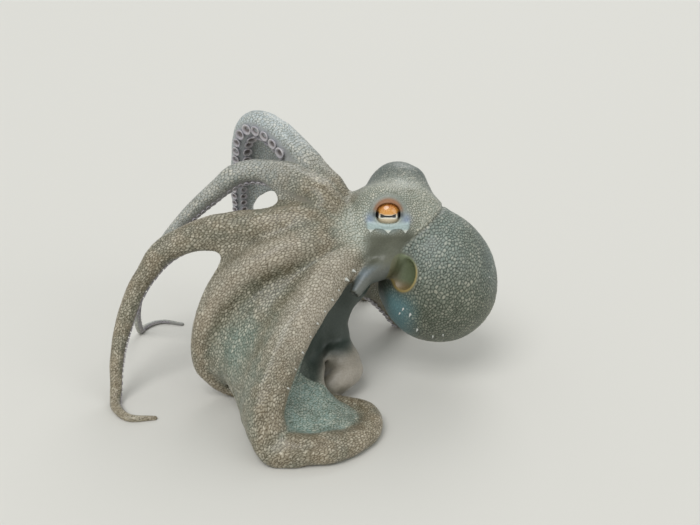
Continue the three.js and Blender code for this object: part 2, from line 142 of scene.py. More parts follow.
ROLLS = {"left_1": -50, "left_2": -35}
ROLL_START, ROLL_END = 5, 60


def through(points, fine=24):
    """A smooth line through points, as a dense list, with no loops at uneven spacing."""
    p = np.asarray(points, float)
    p = np.vstack([2 * p[0] - p[1], p, 2 * p[-1] - p[-2]])
    line = []
    for a, b, c, d in zip(p[:-3], p[1:-2], p[2:-1], p[3:]):
        u, v, w = (max(np.linalg.norm(x), 1e-4) ** 0.5 for x in (b - a, c - b, d - c))
        start = ((b - a) / u - (c - a) / (u + v) + (c - b) / v) * v
        end = ((c - b) / v - (d - b) / (v + w) + (d - c) / w) * v
        t = np.arange(fine)[:, None] / fine
        square, cube = 3 * (c - b) - 2 * start - end, 2 * (b - c) + start + end
        line.append(b + start * t + square * t**2 + cube * t**3)
    return np.vstack([*line, p[-2:-1]])


def run_along(line):
    """How far along a line each of its points is."""
    return np.concatenate([[0], np.cumsum(np.linalg.norm(np.diff(line, axis=0), axis=1))])


def evenly(line, shares):
    """Places at given shares of a line's length."""
    run = run_along(line)
    return np.stack([np.interp(np.asarray(shares) * run[-1], run, line[:, k]) for k in range(3)], 1)


def smooth(value, start, end):
    """Rises softly from 0 at the start to 1 at the end. The start may be the larger of the two."""
    t = np.clip((np.asarray(value, float) - start) / (end - start), 0, 1)
    return t * t * (3 - 2 * t)


# %% [markdown]
# ## Centre lines
#
# Each arm starts in a ring round the mouth and follows its route. A Blender curve could carry it,
# but webs, suckers and pattern all have to read the line, so it is kept as plain lists of places.
# Beside its centre line, an arm needs to know which way its suckers face. That direction is
# carried along the line without twisting it, as a strip of tape would lie, and two raised arms
# then roll a little to show their suckers. Where an arm would sink into the floor it is lifted,
# and where it lies down it keeps a small flat underneath.

# %% Follow every arm
crown_up = unit(np.array((0, 0, 1.0)) - ORAL_AXIS * ORAL_AXIS[2])
crown_side = np.cross(ORAL_AXIS, crown_up)


def arm_line(name, angle, radius, taper, webbed, route):
    turn = math.radians(angle)
    root = MOUTH + CROWN_RADIUS * (math.cos(turn) * crown_up + math.sin(turn) * crown_side)
    flat = np.array([(*p, 0)[:3] for p in route], float)
    run = run_along(flat)

    def thickness(share):
        return TIP_RADIUS + (radius - TIP_RADIUS) * (1 - share) ** taper

    grounded = [len(p) == 2 for p in route]
    for n, down in enumerate(grounded):
        if down:
            flat[n, 2] = thickness(run[n] / run[-1]) - FLAT_DEPTH
    landing = run[grounded.index(True)] / run[-1]
    line = through([root, *flat])
    total = run_along(line)[-1]
    share = np.linspace(0, 1, round(total / STATION) + 1)
    centre = evenly(line, share)
    tangent = unit(np.gradient(centre, axis=0))
    oral = [ORAL_AXIS]
    for t in tangent:
        oral.append(unit(oral[-1] - t * (oral[-1] @ t)))
    oral = np.array(oral[1:])
    roll = np.radians(ROLLS.get(name, 0)) * smooth(share * total, ROLL_START, ROLL_END)[:, None]
    oral = oral * np.cos(roll) + np.cross(tangent, oral) * np.sin(roll)
    size = thickness(share)
    across = np.cross(tangent, oral)
    around = np.linspace(0, 2 * np.pi, 24, endpoint=False)
    flatter = 1 - ORAL_FLATTENING * np.maximum(0, np.cos(around))
    heights = size[:, None] * flatter * (np.cos(around) * oral[:, 2:] + np.sin(around) * across[:, 2:])
    drop = -FLAT_DEPTH - (centre[:, 2] + heights.min(1))
    settled = smooth(share, landing - LANDING_RUN / total, landing)
    lift = np.where(drop > 0, drop, drop * settled)
    settled_centre = centre + lift[:, None] * np.array((0, 0, 1))
    return {"line": line, "total": total, "share": share, "centre": settled_centre, "tangent": tangent,
            "oral": oral, "size": size, "webbed": webbed}


def at_share(arm, key, share):
    """A place or a direction of an arm, read at shares of its length."""
    return np.stack([np.interp(share, arm["share"], arm[key][:, k]) for k in range(3)], -1)


arms = {name: arm_line(name, *arm) for name, arm in ARMS.items()}
print("arm lengths in mm:", {name: round(arm["total"]) for name, arm in arms.items()})

# %% [markdown]
# ## A field that tells how far the skin is
#
# An animal's parts flow into each other, so joining separate meshes would leave hard seams.
# Instead, a grid of points over the whole animal holds the distance to its surface: below zero
# inside, above zero outside. Two forms join softly by blending their distances, and the skin is
# the surface where the distance is zero.

# %% The grid
VOXEL = 0.58
MARGIN = 5
REACH = 9
corners = np.array([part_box(name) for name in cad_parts]) / MM - shift
grid_low = corners[:, 0].min(0) - MARGIN
grid_high = corners[:, 1].max(0) + MARGIN
counts = np.ceil((grid_high - grid_low) / VOXEL).astype(int)
axes = [(grid_low[k] + VOXEL * np.arange(counts[k])).astype(np.float32) for k in range(3)]
print("grid:", counts, "points in millions:", round(counts.prod() / 1e6, 1))


def window(first, last, reach=REACH):
    """The part of the grid round two corners, and its coordinates, ready to broadcast."""
    a = np.clip(((np.minimum(first, last) - reach - grid_low) / VOXEL).astype(int), 0, counts - 1)
    b = np.clip(((np.maximum(first, last) + reach - grid_low) / VOXEL).astype(int) + 2, 1, counts)
    part = tuple(slice(i, j) for i, j in zip(a, b))
    x, y, z = (axes[k][part[k]] for k in range(3))
    return part, x[:, None, None], y[None, :, None], z[None, None, :]


def new_field():
    return np.full(counts, REACH, np.float32)


def join(a, b, softness):
    """The soft union of two distances."""
    h = np.clip(0.5 + 0.5 * (b - a) / softness, 0, 1)
    return b + (a - b) * h - softness * h * (1 - h)


def cut(a, b, softness):
    """Takes form b out of form a, with a soft edge."""
    return -join(-a, b, softness)


# %% Distance to a limb
def limb(field, softness, centre, size, oral=None, blend=None):
    """Lowers the field to the distance from a chain of tapered links, and keeps how soft each is."""
    flattening = 0 if oral is None else ORAL_FLATTENING
    facing_way = np.zeros_like(centre) if oral is None else oral
    for n in range(len(centre) - 1):
        p, q = centre[n], centre[n + 1]
        part, x, y, z = window(p, q, size[n : n + 2].max() + REACH)
        d = q - p
        x, y, z = x - np.float32(p[0]), y - np.float32(p[1]), z - np.float32(p[2])
        t = np.clip((x * d[0] + y * d[1] + z * d[2]) / (d @ d), 0, 1).astype(np.float32)
        vx, vy, vz = x - t * d[0], y - t * d[1], z - t * d[2]
        gap = np.sqrt(vx * vx + vy * vy + vz * vz)
        reach = size[n] + (size[n + 1] - size[n]) * t
        if flattening:
            o = facing_way[n]
            facing = np.maximum(0, (vx * o[0] + vy * o[1] + vz * o[2]) / np.maximum(gap, 0.01))
            reach = reach * (1 - flattening * facing)
        value = (gap - reach).astype(np.float32)
        closer = value < field[part]
        np.copyto(field[part], value, where=closer)
        if softness is not None:
            np.copyto(softness[part], np.float32(blend[n]), where=closer)


def extent(centre, size):
    reach = size.max() + REACH
    return window(centre.min(0), centre.max(0), reach)[0]


# %% [markdown]
# ## Head and crown
#
# The head is a thick bent form that runs from the arms past the eyes into the mantle, with a
# mound under each eye. The crown is the flesh round the mouth. They could be sculpted, but a few
# links and balls that blend widely look as soft, and each can still be moved by its numbers.

# %% Join the head, the mounds and the crown
MOUND_SOFTNESS = 7
CORE_SOFTNESS = 8


def tapering(route, radii, count):
    """Even places along a smooth route, and the radius at each."""
    share = np.linspace(0, 1, count)
    return evenly(through(route), share), np.interp(share, np.linspace(0, 1, len(radii)), radii)


def ball(centre, radius):
    part, x, y, z = window(np.array(centre), np.array(centre), radius + REACH)
    gap = np.sqrt((x - centre[0]) ** 2 + (y - centre[1]) ** 2 + (z - centre[2]) ** 2)
    return part, (gap - radius).astype(np.float32)


def report(step):
    """Prints how much flesh the field holds so far."""
    print(f"{step}: {(skin < 0).sum() * VOXEL**3 / 1000:.0f} cm3 so far")


skin = new_field()
head_centre, head_size = tapering(HEAD_ROUTE, HEAD_RADII, 20)
limb(skin, None, head_centre, head_size)
for eye in EYES.values():
    part, value = ball(eye["mound"], eye["swell"])
    skin[part] = join(skin[part], value, MOUND_SOFTNESS)
part, value = ball(MOUTH, CROWN_CORE)
skin[part] = join(skin[part], value, CORE_SOFTNESS)
report("head and crown")

# %% Join the webbed stretch of every arm
CROWN_SOFTNESS, CROWN_END = 7, 30
ARM_SOFTNESS, ARM_BEGINS = 2.5, 90
WEBBED_OVERLAP = 0.03
for arm in arms.values():
    from_root = arm["share"] * arm["total"]
    blend = CROWN_SOFTNESS + (ARM_SOFTNESS - CROWN_SOFTNESS) * smooth(from_root, CROWN_END, ARM_BEGINS)
    webbed = arm["share"] <= arm["webbed"] + WEBBED_OVERLAP
    field, softness = new_field(), np.full(counts, 1, np.float32)
    limb(field, softness, arm["centre"][webbed], arm["size"][webbed], arm["oral"][webbed], blend[webbed])
    part = extent(arm["centre"][webbed], arm["size"][webbed])
    skin[part] = join(skin[part], field[part], softness[part])
del field, softness
report("with the webbed stretches")

# %% [markdown]
# ## Webs
#
# A thin sheet of skin stretches between each two neighbouring arms, and sags between them. Each
# one is a grid of points between two arm lines. It is given a thickness, thinner towards its
# free edge, closed all round, and turned into distances too, so that it flows into the arms.

# %% Web sheets
# Two arms, how far the web reaches along each and how far it is lifted over each, how deep its
# free edge is notched, how far it sags, its softness, and the places its second edge goes on to.
LOOP_EDGE = [(-14, -16, 25), (-26, -18, 17), (-22, -28, 12)]
WEBS = [
    ("right_1", "left_1", (0.3, 0.3), (0.4, 0.4), 0.42, 4, 6, []),
    ("left_1", "left_2", (0.3, 0.3), (0.3, 0.4), 0.42, 3, 6, []),
    ("left_2", "left_3", (0.5, 0.46), (0.6, 0.65), 0.3, 4, 9, []),
    ("left_3", "left_4", (0.7, 0.52), (0.1, 0.55), 0, 6, 4.5, []),
    ("left_4", "right_4", (0.8, 0.3), (0, 0), 0, 3, 7, LOOP_EDGE),
    ("right_4", "right_3", (0.35, 0.4), (0.3, 0.3), 0.4, 4, 6, []),
    ("right_3", "right_2", (0.42, 0.4), (0.4, 0.4), 0.35, 5, 6, []),
    ("right_2", "right_1", (0.42, 0.55), (0.4, 0.4), 0.35, 5, 6, []),
]
WEB_ROOT = 14
WEB_THICKNESS = 3.2
WEB_EDGE_THICKNESS = 2.0


def web_edge(arm, reach, lift, beyond):
    shares = np.linspace(WEB_ROOT / arm["total"], reach, 9)
    points = evenly(arm["line"], shares)
    size = np.interp(shares, arm["share"], arm["size"])
    oral = at_share(arm, "oral", shares)
    return through([*(points - oral * (lift * size)[:, None]), *beyond])


def web_sheet(first, second, reach, lift, notch, sag, beyond, rows=48, columns=26):
    a, b = arms[first], arms[second]
    across = np.linspace(0, 1, columns + 1)[None, :]
    bow = np.sin(np.pi * across)
    along = np.linspace(0, 1, rows + 1)[:, None] * (1 - notch * bow)
    edges = [web_edge(a, reach[0], lift[0], []), web_edge(b, reach[1], lift[1], beyond)]
    p, q = (evenly(edge, along.ravel()).reshape(rows + 1, columns + 1, 3) for edge in edges)
    middle = p + (q - p) * across[..., None]
    facing = [at_share(arm, "oral", along * far) for arm, far in zip((a, b), reach)]
    oral = unit(facing[0] + (facing[1] - facing[0]) * across[..., None])
    middle = middle + oral * (sag * bow * np.minimum(1, along * 2))[..., None]
    middle[..., 2] = np.maximum(middle[..., 2], WEB_THICKNESS / 2 - FLAT_DEPTH / 2)
    return middle


def web_distance(middle):
    """The distance to a closed sheet round a grid of points."""
    rows, columns = middle.shape[:2]
    normal = unit(np.cross(np.gradient(middle, axis=0), np.gradient(middle, axis=1)))
    edge = smooth(np.linspace(0, 1, rows), 0.75, 1)[:, None, None]
    half = (WEB_THICKNESS + (WEB_EDGE_THICKNESS - WEB_THICKNESS) * edge) / 2
    sides = (middle + normal * half, middle - normal * half)
    points = np.concatenate([side.reshape(-1, 3) for side in sides])
    a = (np.arange(rows - 1)[:, None] * columns + np.arange(columns - 1)).ravel()
    count = rows * columns
    top = np.stack([a, a + columns, a + columns + 1, a + 1], 1)
    quads = [top, top[:, ::-1] + count]
    border = np.concatenate([
        np.arange(columns), np.arange(1, rows) * columns + columns - 1,
        (rows - 1) * columns + np.arange(columns - 2, -1, -1), np.arange(rows - 2, 0, -1) * columns])
    after = np.roll(border, -1)
    quads.append(np.stack([border, after, after + count, border + count], 1))
    transform = openvdb.createLinearTransform(VOXEL)
    grid = openvdb.FloatGrid.createLevelSetFromPolygons(
        (points - grid_low).astype(np.float64), quads=np.concatenate(quads).astype(np.uint32),
        transform=transform, halfWidth=REACH / VOXEL)
    part = window(points.min(0), points.max(0))[0]
    value = np.zeros([s.stop - s.start for s in part], np.float32)
    grid.copyToArray(value, ijk=tuple(s.start for s in part))
    return part, value


for first, second, reach, lift, notch, sag, softness, beyond in WEBS:
    part, value = web_distance(web_sheet(first, second, reach, lift, notch, sag, beyond))
    skin[part] = join(skin[part], value, softness)
report(f"with {len(WEBS)} webs")

# %% [markdown]
# ## The broad ridge in front
#
# The fourth left arm is flat and broad where it runs down in front, so that arm and web are one
# long slope. A thicker arm would only stand out as a bulge. A second sheet, raised more and more
# towards that arm, fills the corner between them.

# %% Broaden the fourth left arm into its web
BROAD_REACH = (0.7, 0.52)
BROAD_SAG = 6
BROAD_START, BROAD_RISE, BROAD_SOFTNESS = 0.4, 0.8, 8
middle = web_sheet("left_3", "left_4", BROAD_REACH, (0, 0), 0, BROAD_SAG, [])
rows, columns = middle.shape[:2]
out = unit(np.cross(np.gradient(middle, axis=0), np.gradient(middle, axis=1)))
out *= np.sign(out[..., 2:].mean())
rise = smooth(np.linspace(0, 1, columns), BROAD_START, 1)
down_arm = np.linspace(0, BROAD_REACH[1], rows)
size = np.interp(down_arm, arms["left_4"]["share"], arms["left_4"]["size"])
middle = middle + out * (BROAD_RISE * size[:, None] * rise)[..., None]
middle = middle[:, round(columns * BROAD_START) :]
part, value = web_distance(middle)
skin[part] = join(skin[part], value, BROAD_SOFTNESS)
report("with the broad ridge")
loop_sheet = web_sheet("left_4", "right_4", (0.8, 0.3), (0, 0), 0, 3, LOOP_EDGE).reshape(-1, 3)

# %% [markdown]
# ## Free arm ends
#
# Past the web an arm is free, and where it curls against itself or lies beside another the
# crease between them stays sharp. One softness for the whole arm would fill those creases, so
# these stretches are joined last and with almost no softness.

# %% Join the free stretch of every arm
CREASE = 1.2
for arm in arms.values():
    free = arm["share"] >= arm["webbed"]
    field = new_field()
    limb(field, None, arm["centre"][free], arm["size"][free], arm["oral"][free])
    part = extent(arm["centre"][free], arm["size"][free])
    skin[part] = join(skin[part], field[part], CREASE)
del field
report("with the free arm ends")

# %% [markdown]
# ## Mantle, water opening and funnel
#
# The mantle is an egg-shaped sac that hangs behind the head. Water enters it through a wide
# slit beside the neck, whose thin edge is a little thickened, and leaves through the funnel.
# The sac could be a smoothed box. An ellipsoid is nearer to its shape, and its distance is quick
# to work out. The slit is a second ellipsoid that is cut away, and the funnel is a bored limb.


# %% Distances to the mantle and to its opening
def ellipsoid_distance(u, v, w, radii):
    """About how far an ellipsoid is, from coordinates that are divided by its radii."""
    k = np.sqrt(u * u + v * v + w * w)
    slope = np.sqrt((u / radii[0]) ** 2 + (v / radii[1]) ** 2 + (w / radii[2]) ** 2)
    return k * (k - 1) / np.maximum(slope, 1e-4)


def mantle_distance(x, y, z):
    c, s = math.cos(MANTLE_LEAN), math.sin(MANTLE_LEAN)
    x, y, z = x - MANTLE_CENTRE[0], y - MANTLE_CENTRE[1], z - MANTLE_CENTRE[2]
    u, v, w = (x * c + z * s) / MANTLE_RADII[0], y / MANTLE_RADII[1], (z * c - x * s) / MANTLE_RADII[2]
    down = np.clip(-w, -1, 1)
    fuller = 1 + MANTLE_FULLNESS * down
    u, v = u / fuller, v / fuller
    return ellipsoid_distance(u, v, w, MANTLE_RADII)


OPENING_TURN = np.array(Vector((0, 1, 0)).rotation_difference(-Vector(OPENING_FACES)).to_matrix())


def opening_distance(x, y, z):
    x, y, z = (p - c for p, c in zip((x, y, z), OPENING_CENTRE))
    u, v, w = ((x * t[0] + y * t[1] + z * t[2]) / r for t, r in zip(OPENING_TURN.T, OPENING_RADII))
    return ellipsoid_distance(u, v, w, OPENING_RADII)


# %% Hang the mantle, open it and add its lip
MANTLE_SOFTNESS = 5
OPENING_SOFTNESS = 1.2
LIP_RADIUS, LIP_START, LIP_SOFTNESS = 0.42, 25, 0.8
part, x, y, z = window(MANTLE_CENTRE, MANTLE_CENTRE, MANTLE_RADII.max() * 1.1 + REACH)
sac = mantle_distance(x, y, z).astype(np.float32)
skin[part] = join(skin[part], sac, MANTLE_SOFTNESS)
hollow = opening_distance(x, y, z).astype(np.float32)
skin[part] = cut(skin[part], hollow, OPENING_SOFTNESS)
lip = np.sqrt(sac**2 + hollow**2) - LIP_RADIUS
lip = np.maximum(lip, LIP_START - x)
skin[part] = join(skin[part], lip, LIP_SOFTNESS)
report("with the mantle")

# %% Add the funnel and bore it
FUNNEL_SOFTNESS = 4
BORE_WIDER, BORE_NARROWER, BORE_SOFTNESS = 0.3, 0.5, 0.6
field = new_field()
funnel_centre, funnel_size = tapering(FUNNEL_ROUTE, FUNNEL_RADII, 16)
limb(field, None, funnel_centre, funnel_size)
part = extent(funnel_centre, funnel_size)
skin[part] = join(skin[part], field[part], FUNNEL_SOFTNESS)
field = new_field()
bore = np.array([funnel_centre[-1] * 2 - funnel_centre[-2], *funnel_centre[:-6:-1]])
limb(field, None, bore, np.linspace(FUNNEL_BORE + BORE_WIDER, FUNNEL_BORE - BORE_NARROWER, len(bore)))
skin[part] = cut(skin[part], field[part], BORE_SOFTNESS)
del field
report("with the funnel")

# %% [markdown]
# ## The bend under the web
#
# Where the fourth right arm folds back behind the front web, its own skin closes the small gap
# between the arm and the web. A third sheet could do it, but the gap is so small that two balls
# fill it.

# %% Fill the bend of the fourth right arm
BEND_SOFTNESS = 4
for centre, radius in (((-7, -9, 20), 9), ((-12, -10, 13), 8.5)):
    part, value = ball(centre, radius)
    skin[part] = join(skin[part], value, BEND_SOFTNESS)
report("with the bend")

# %% [markdown]
# ## Eye openings
#
# Each eyeball sits in its mound behind an opening with a thick soft rim, a little wider than
# high. A ring made apart would show a seam round it, so the opening is cut in the field too. The
# rim is a tube along the line where the opening meets the mound.

# %% Open the lids
LID_HALF_WIDTH = 6.4
LID_HALF_HEIGHT = 5.5
LID_SQUARENESS = 2.3
LID_RIM, LOW_RIM = 0.7, 0.5
LID_FLARE, FLARE_FROM, FLARE_END = 0.035, 4, 12
LID_SCALE = 5.8
LID_SOFTNESS, RIM_SOFTNESS = 0.5, 0.7
LID_REACH = 20
SOCKET_GAP = 0.15
for eye in EYES.values():
    eye["centre"], eye["looks"] = np.array(eye["centre"], float), unit(eye["looks"])
    eye["side"] = unit(np.cross(eye["looks"], (0, 0, 1.0)))
    eye["up"] = np.cross(eye["side"], eye["looks"])


def eye_place(eye, x, y, z):
    """Sideways, upwards and outwards from an eyeball's centre."""
    x, y, z = x - eye["centre"][0], y - eye["centre"][1], z - eye["centre"][2]
    return tuple(x * v[0] + y * v[1] + z * v[2] for v in (eye["side"], eye["up"], eye["looks"]))


for eye in EYES.values():
    part, x, y, z = window(eye["centre"], eye["centre"], LID_REACH)
    side, up, out = eye_place(eye, x, y, z)
    wider = 1 + LID_FLARE * np.clip(out - FLARE_FROM, 0, FLARE_END)
    oval = np.abs(side / LID_HALF_WIDTH) ** LID_SQUARENESS
    oval = (oval + np.abs((up + 0.2) / LID_HALF_HEIGHT) ** LID_SQUARENESS) ** (1 / LID_SQUARENESS)
    opening = (oval / wider - 1) * LID_SCALE
    tube = np.maximum(opening, -out)
    thick = LID_RIM * (LOW_RIM + (1 - LOW_RIM) * smooth(up, -3, 1))
    rim = np.sqrt(np.maximum(opening, -3) ** 2 + (skin[part] - 0.1) ** 2) - thick
    rim = np.where(out > 0, rim, REACH).astype(np.float32)
    opened = cut(skin[part], tube.astype(np.float32), LID_SOFTNESS)
    skin[part] = join(opened, rim, RIM_SOFTNESS)
    globe = np.sqrt(side**2 + up**2 + out**2) - EYE_RADIUS - SOCKET_GAP
    skin[part] = np.maximum(skin[part], -globe)
report("with the lids open")


# %% Even out the field and stand it on the floor
def soften(field):
    for axis in range(3):
        body = [slice(None)] * 3
        before, after = list(body), list(body)
        body[axis], before[axis], after[axis] = slice(1, -1), slice(0, -2), slice(2, None)
        field[tuple(body)] = field[tuple(body)] / 2 + (field[tuple(before)] + field[tuple(after)]) / 4
    return field


skin = soften(skin)
skin = np.maximum(skin, -axes[2][None, None, :]).astype(np.float32)
report("evened out")

# %% [markdown]
# ## From field to mesh
#
# The surface where the distance is zero becomes a mesh of small even quads. A grid of half the
# size would take eight times the memory, so only the quads round each eye are halved, because the
# lids and the folds there are finer than the rest.

# %% Make the skin mesh
grid = openvdb.FloatGrid(background=REACH)
grid.copyFromArray(skin)
grid.transform = openvdb.createLinearTransform(VOXEL)
points, quads = grid.convertToQuads(isovalue=0.0)
points = points + grid_low
mesh = bpy.data.meshes.new("skin")
mesh.from_pydata(points.tolist(), [], quads[:, ::-1].tolist())
mesh.validate()
print("skin mesh:", len(mesh.vertices), "vertices,", len(mesh.polygons), "faces")

# %% Halve the faces round the eyes
FINE_REACH = 19
work = bmesh.new()
work.from_mesh(mesh)
bmesh.ops.recalc_face_normals(work, faces=work.faces)
fine = set()
for eye in EYES.values():
    centre = Vector(eye["centre"] + eye["looks"] * 6)
    for face in work.faces:
        if (face.verts[0].co - centre).length < FINE_REACH:
            fine.add(face)
edges = {edge for face in fine for edge in face.edges}
bmesh.ops.subdivide_edges(work, edges=list(edges), cuts=1, use_grid_fill=True)
work.to_mesh(mesh)
work.free()
print("with finer eyes:", len(mesh.vertices), "vertices")


# %% Read the mesh as arrays
def read(items, name, width=1, kind=np.float32):
    """One value, or a few, of every item of a mesh."""
    data = np.empty(len(items) * width, kind)
    items.foreach_get(name, data)
    return data if width == 1 else data.reshape(-1, width).astype(np.float64)


place, normal = read(mesh.vertices, "co", 3), read(mesh.vertex_normals, "vector", 3)
print("normals point outwards:", bool(((place - place.mean(0)) * normal).sum(1).mean() > 0))

# %% [markdown]
# ## Knowing where on the animal each point is
#
# The skin's pattern follows the arms, so every point of the mesh is told its nearest arm, how far
# along it is, which way the arm runs there, and whether it faces the sucker side. The mantle and
# the head get masks of their own. Masks could be painted by hand, but worked out like this they
# still fit when a form is changed.

# %% Nearest arm of every point
KEYS = ("centre", "tangent", "oral", "size", "share")
stations = {key: np.concatenate([arm[key] for arm in arms.values()]) for key in KEYS}
owner = np.concatenate([np.full(len(arm["share"]), n) for n, arm in enumerate(arms.values())])
count = len(place)
near, away = np.zeros(count, int), np.zeros(count)
flow = np.zeros((count, 3))
CHUNK = 20000
for start in range(0, count, CHUNK):
    p = place[start : start + CHUNK].astype(np.float32)
    c = stations["centre"].astype(np.float32)
    squared = (p**2).sum(1)[:, None] - 2 * p @ c.T + (c**2).sum(1)[None]
    gap = np.sqrt(np.maximum(squared, 0)) - stations["size"][None].astype(np.float32)
    near[start : start + CHUNK] = gap.argmin(1)
    away[start : start + CHUNK] = gap.min(1)
    weight = np.exp(-(gap - gap.min(1, keepdims=True)) / 4)
    flow[start : start + CHUNK] = weight @ stations["tangent"]
arm_of, share_of, size_of = owner[near], stations["share"][near], stations["size"][near]
names = list(arms)
from_axis = place - stations["centre"][near]
from_axis -= stations["tangent"][near] * (from_axis * stations["tangent"][near]).sum(1, keepdims=True)
oral_facing = (unit(from_axis) * stations["oral"][near]).sum(1)
x, y, z = place.T
to_mantle = mantle_distance(x, y, z)
to_opening = opening_distance(x, y, z)
on_mantle = smooth(np.minimum(away, 12) - to_mantle, -1, 3) * smooth(to_mantle, 4, 1.5) * smooth(x, 12, 24)
from_mouth = np.linalg.norm(place - MOUTH, axis=1)
print("points on the mantle:", int((on_mantle > 0.5).sum()))


# %% Read the field between its points
def field_at(p):
    """The distance to the skin at each point, read between the grid's points."""
    q = np.clip((p - grid_low) / VOXEL, 0, counts - 1.001)
    base = q.astype(int)
    f = q - base
    total = 0
    for corner in np.ndindex(2, 2, 2):
        weight = np.prod(np.where(corner, f, 1 - f), axis=-1)
        total = total + weight * skin[tuple((base + corner)[..., k] for k in range(3))]
    return total


# %% Head, eye and sucker-side masks
def distance_to(centre, size):
    """How far each point of the skin is from a chain of balls."""
    gaps = []
    for n in range(0, count, CHUNK):
        way = place[n : n + CHUNK, None].astype(np.float32) - centre[None].astype(np.float32)
        gaps.append((np.linalg.norm(way, axis=2) - size).min(1))
    return np.concatenate(gaps)


to_head = distance_to(head_centre, head_size)
for eye in EYES.values():
    to_head = np.minimum(to_head, np.linalg.norm(place - np.array(eye["mound"]), axis=1) - eye["swell"])
on_head = smooth(to_head, 6, 2) * (1 - on_mantle) * smooth(x, -4, 10)
FAR, BEHIND = 99.0, 50
eye_side, eye_up, eye_out = (np.full(count, FAR) for _ in range(3))
for eye in EYES.values():
    side, up, out = eye_place(eye, x, y, z)
    before = np.hypot(eye_side, eye_up) + np.where(eye_out > 0, 0, BEHIND)
    nearer = np.hypot(side, up) + np.where(out > 0, 0, BEHIND) < before
    eye_side, eye_up = np.where(nearer, side, eye_side), np.where(nearer, up, eye_up)
    eye_out = np.where(nearer, out, eye_out)
from_eye = np.where((eye_out > -2) & (eye_out < 16), np.hypot(eye_side, eye_up), FAR)
in_web = smooth(away, 0.8, 3.0) * (1 - on_mantle) * (1 - on_head)
sucker_side = smooth(oral_facing, 0.35, 0.7) * (1 - in_web) * (1 - on_mantle) * (1 - on_head)
print("points on the head and on the sucker side:", *(int(m.sum()) for m in (on_head, sucker_side)))

# %% The way that the skin's pattern runs
MANTLE_FLOW, MANTLE_FLOW_STRENGTH = np.array((0.6, 0, -0.8)), 5
flow += MANTLE_FLOW * on_mantle[:, None] * MANTLE_FLOW_STRENGTH
flow -= normal * (flow * normal).sum(1, keepdims=True)
flow = unit(flow)

# %% [markdown]
# ## Bare places
#
# The neck, the funnel, the eye's surroundings and the sucker side have no cells. Nor has the
# fourth right arm where it hangs down behind the front web and bends like a knee. Each place is
# a few soft steps multiplied with each other, so its edge is never a hard line.

# %% Neck, funnel, hanging arm and front web
def tree_of(points):
    """A search tree that finds the nearest of some points."""
    tree = kdtree.KDTree(len(points))
    for n, p in enumerate(points):
        tree.insert(p, n)
    tree.balance()
    return tree


left_flank, right_flank = smooth(y, 12, 4), smooth(y, 24, 32)
neck = smooth(z, 98, 92) * smooth(x, 5, 13) * smooth(x, 38, 33) * np.maximum(left_flank, right_flank)
neck *= smooth(away, 0.3, 2.5) * (1 - on_mantle * smooth(to_opening, 0.5, 3))
on_funnel = smooth(distance_to(funnel_centre, funnel_size), 1.6, 0.5) * smooth(z, 80, 74) * smooth(y, 2, -4)
round_loop = (z < 55) & (y < 0)
loop_tree = tree_of(loop_sheet)
to_loop = np.full(count, FAR)
to_loop[round_loop] = [loop_tree.find(p)[2] for p in place[round_loop]]
to_right_4 = distance_to(arms["right_4"]["centre"], arms["right_4"]["size"])
on_right_4 = smooth(to_right_4 - away, 3.5, 0.5) * (1 - on_mantle) * smooth(share_of, 0.62, 0.5)
knee = on_right_4 * smooth(z, 29, 22) * smooth(y, 14, 4) * smooth(x, -20, -12)
# The fourth right arm where it hangs behind the front web: it is bare, and painted shadow darkens it
shaded_hanging = on_right_4 * smooth(z + 0.8 * np.maximum(-12 - x, 0), 21, 28) * smooth(z, 75, 65)
bare = np.maximum.reduce([
    knee * 0.75, shaded_hanging * 0.7,
    smooth(from_eye, 12.5, 8.5), smooth(to_opening, 2.2, 0.6) * smooth(x, 18, 22),
    sucker_side * 0.9, neck * 0.9, on_funnel])
print("share of the skin that is bare:", bare.mean().round(2))

# %% [markdown]
# ## Skin cells
#
# An octopus's skin is covered with small raised cells, round on the mantle and drawn out along
# the arms, with fine dark grooves between them. A plain cell texture knows nothing about the
# arms' direction. So seeds are scattered over the skin, spread evenly in a few rounds, and each
# point belongs to the nearest seed, measured with lengths along the arm counted shorter.

# %% Scatter the seeds
MANTLE_CELL, MANTLE_STRETCH = 1.75, 1.25
ARM_CELL, ARM_STRETCH = 1.35, 1.7
THIN_ARM, FRONT_SMALLER = 0.55, 0.15
SHEET_LIFT = 3
FILLING = 0.9
stretch = ARM_STRETCH + (MANTLE_STRETCH - ARM_STRETCH) * np.maximum(on_mantle, on_head * 0.8)
thin = THIN_ARM + (1 - THIN_ARM) * smooth(size_of, 2, 7)
arm_cell = ARM_CELL * thin * (1 - FRONT_SMALLER * smooth(y, -30, -60))
cell_width = arm_cell * (1 - on_mantle) + MANTLE_CELL * on_mantle
area = np.zeros(count)
corner_count = read(mesh.polygons, "loop_total", kind=np.int32)
corner = read(mesh.loops, "vertex_index", kind=np.int32)
np.add.at(area, corner, np.repeat(read(mesh.polygons, "area") / corner_count, corner_count))
wanted = area / (cell_width**2 * stretch * FILLING)
seed = rng.choice(count, size=int(wanted.sum()), replace=False, p=wanted / wanted.sum())
lifted = place + normal * SHEET_LIFT
print("skin area in cm2:", round(area.sum() / 100), "cells:", len(seed))


# %% Spread them and find each point's cell
ROUNDS = 3
HITS_SPREADING, HITS = 6, 9
GROOVE_SHARE = 0.45


def nearest_cells(points, cell_places, cell_lifted, hits):
    """The cells nearest to each point, nearest first, and their squared distances."""
    tree = tree_of(cell_lifted)
    found = np.array([[hit[1] for hit in tree.find_n(p, hits)] for p in lifted[points]])
    gap = cell_places[found] - place[points][:, None]
    along = np.einsum("nhk,nk->nh", gap, flow[points])
    outward = np.einsum("nhk,nk->nh", gap, normal[points])
    squared = (gap**2).sum(2) - outward**2 - (1 - 1 / stretch[points][:, None] ** 2) * along**2
    order = np.argsort(squared, axis=1)
    return np.take_along_axis(found, order, 1), np.take_along_axis(squared, order, 1)


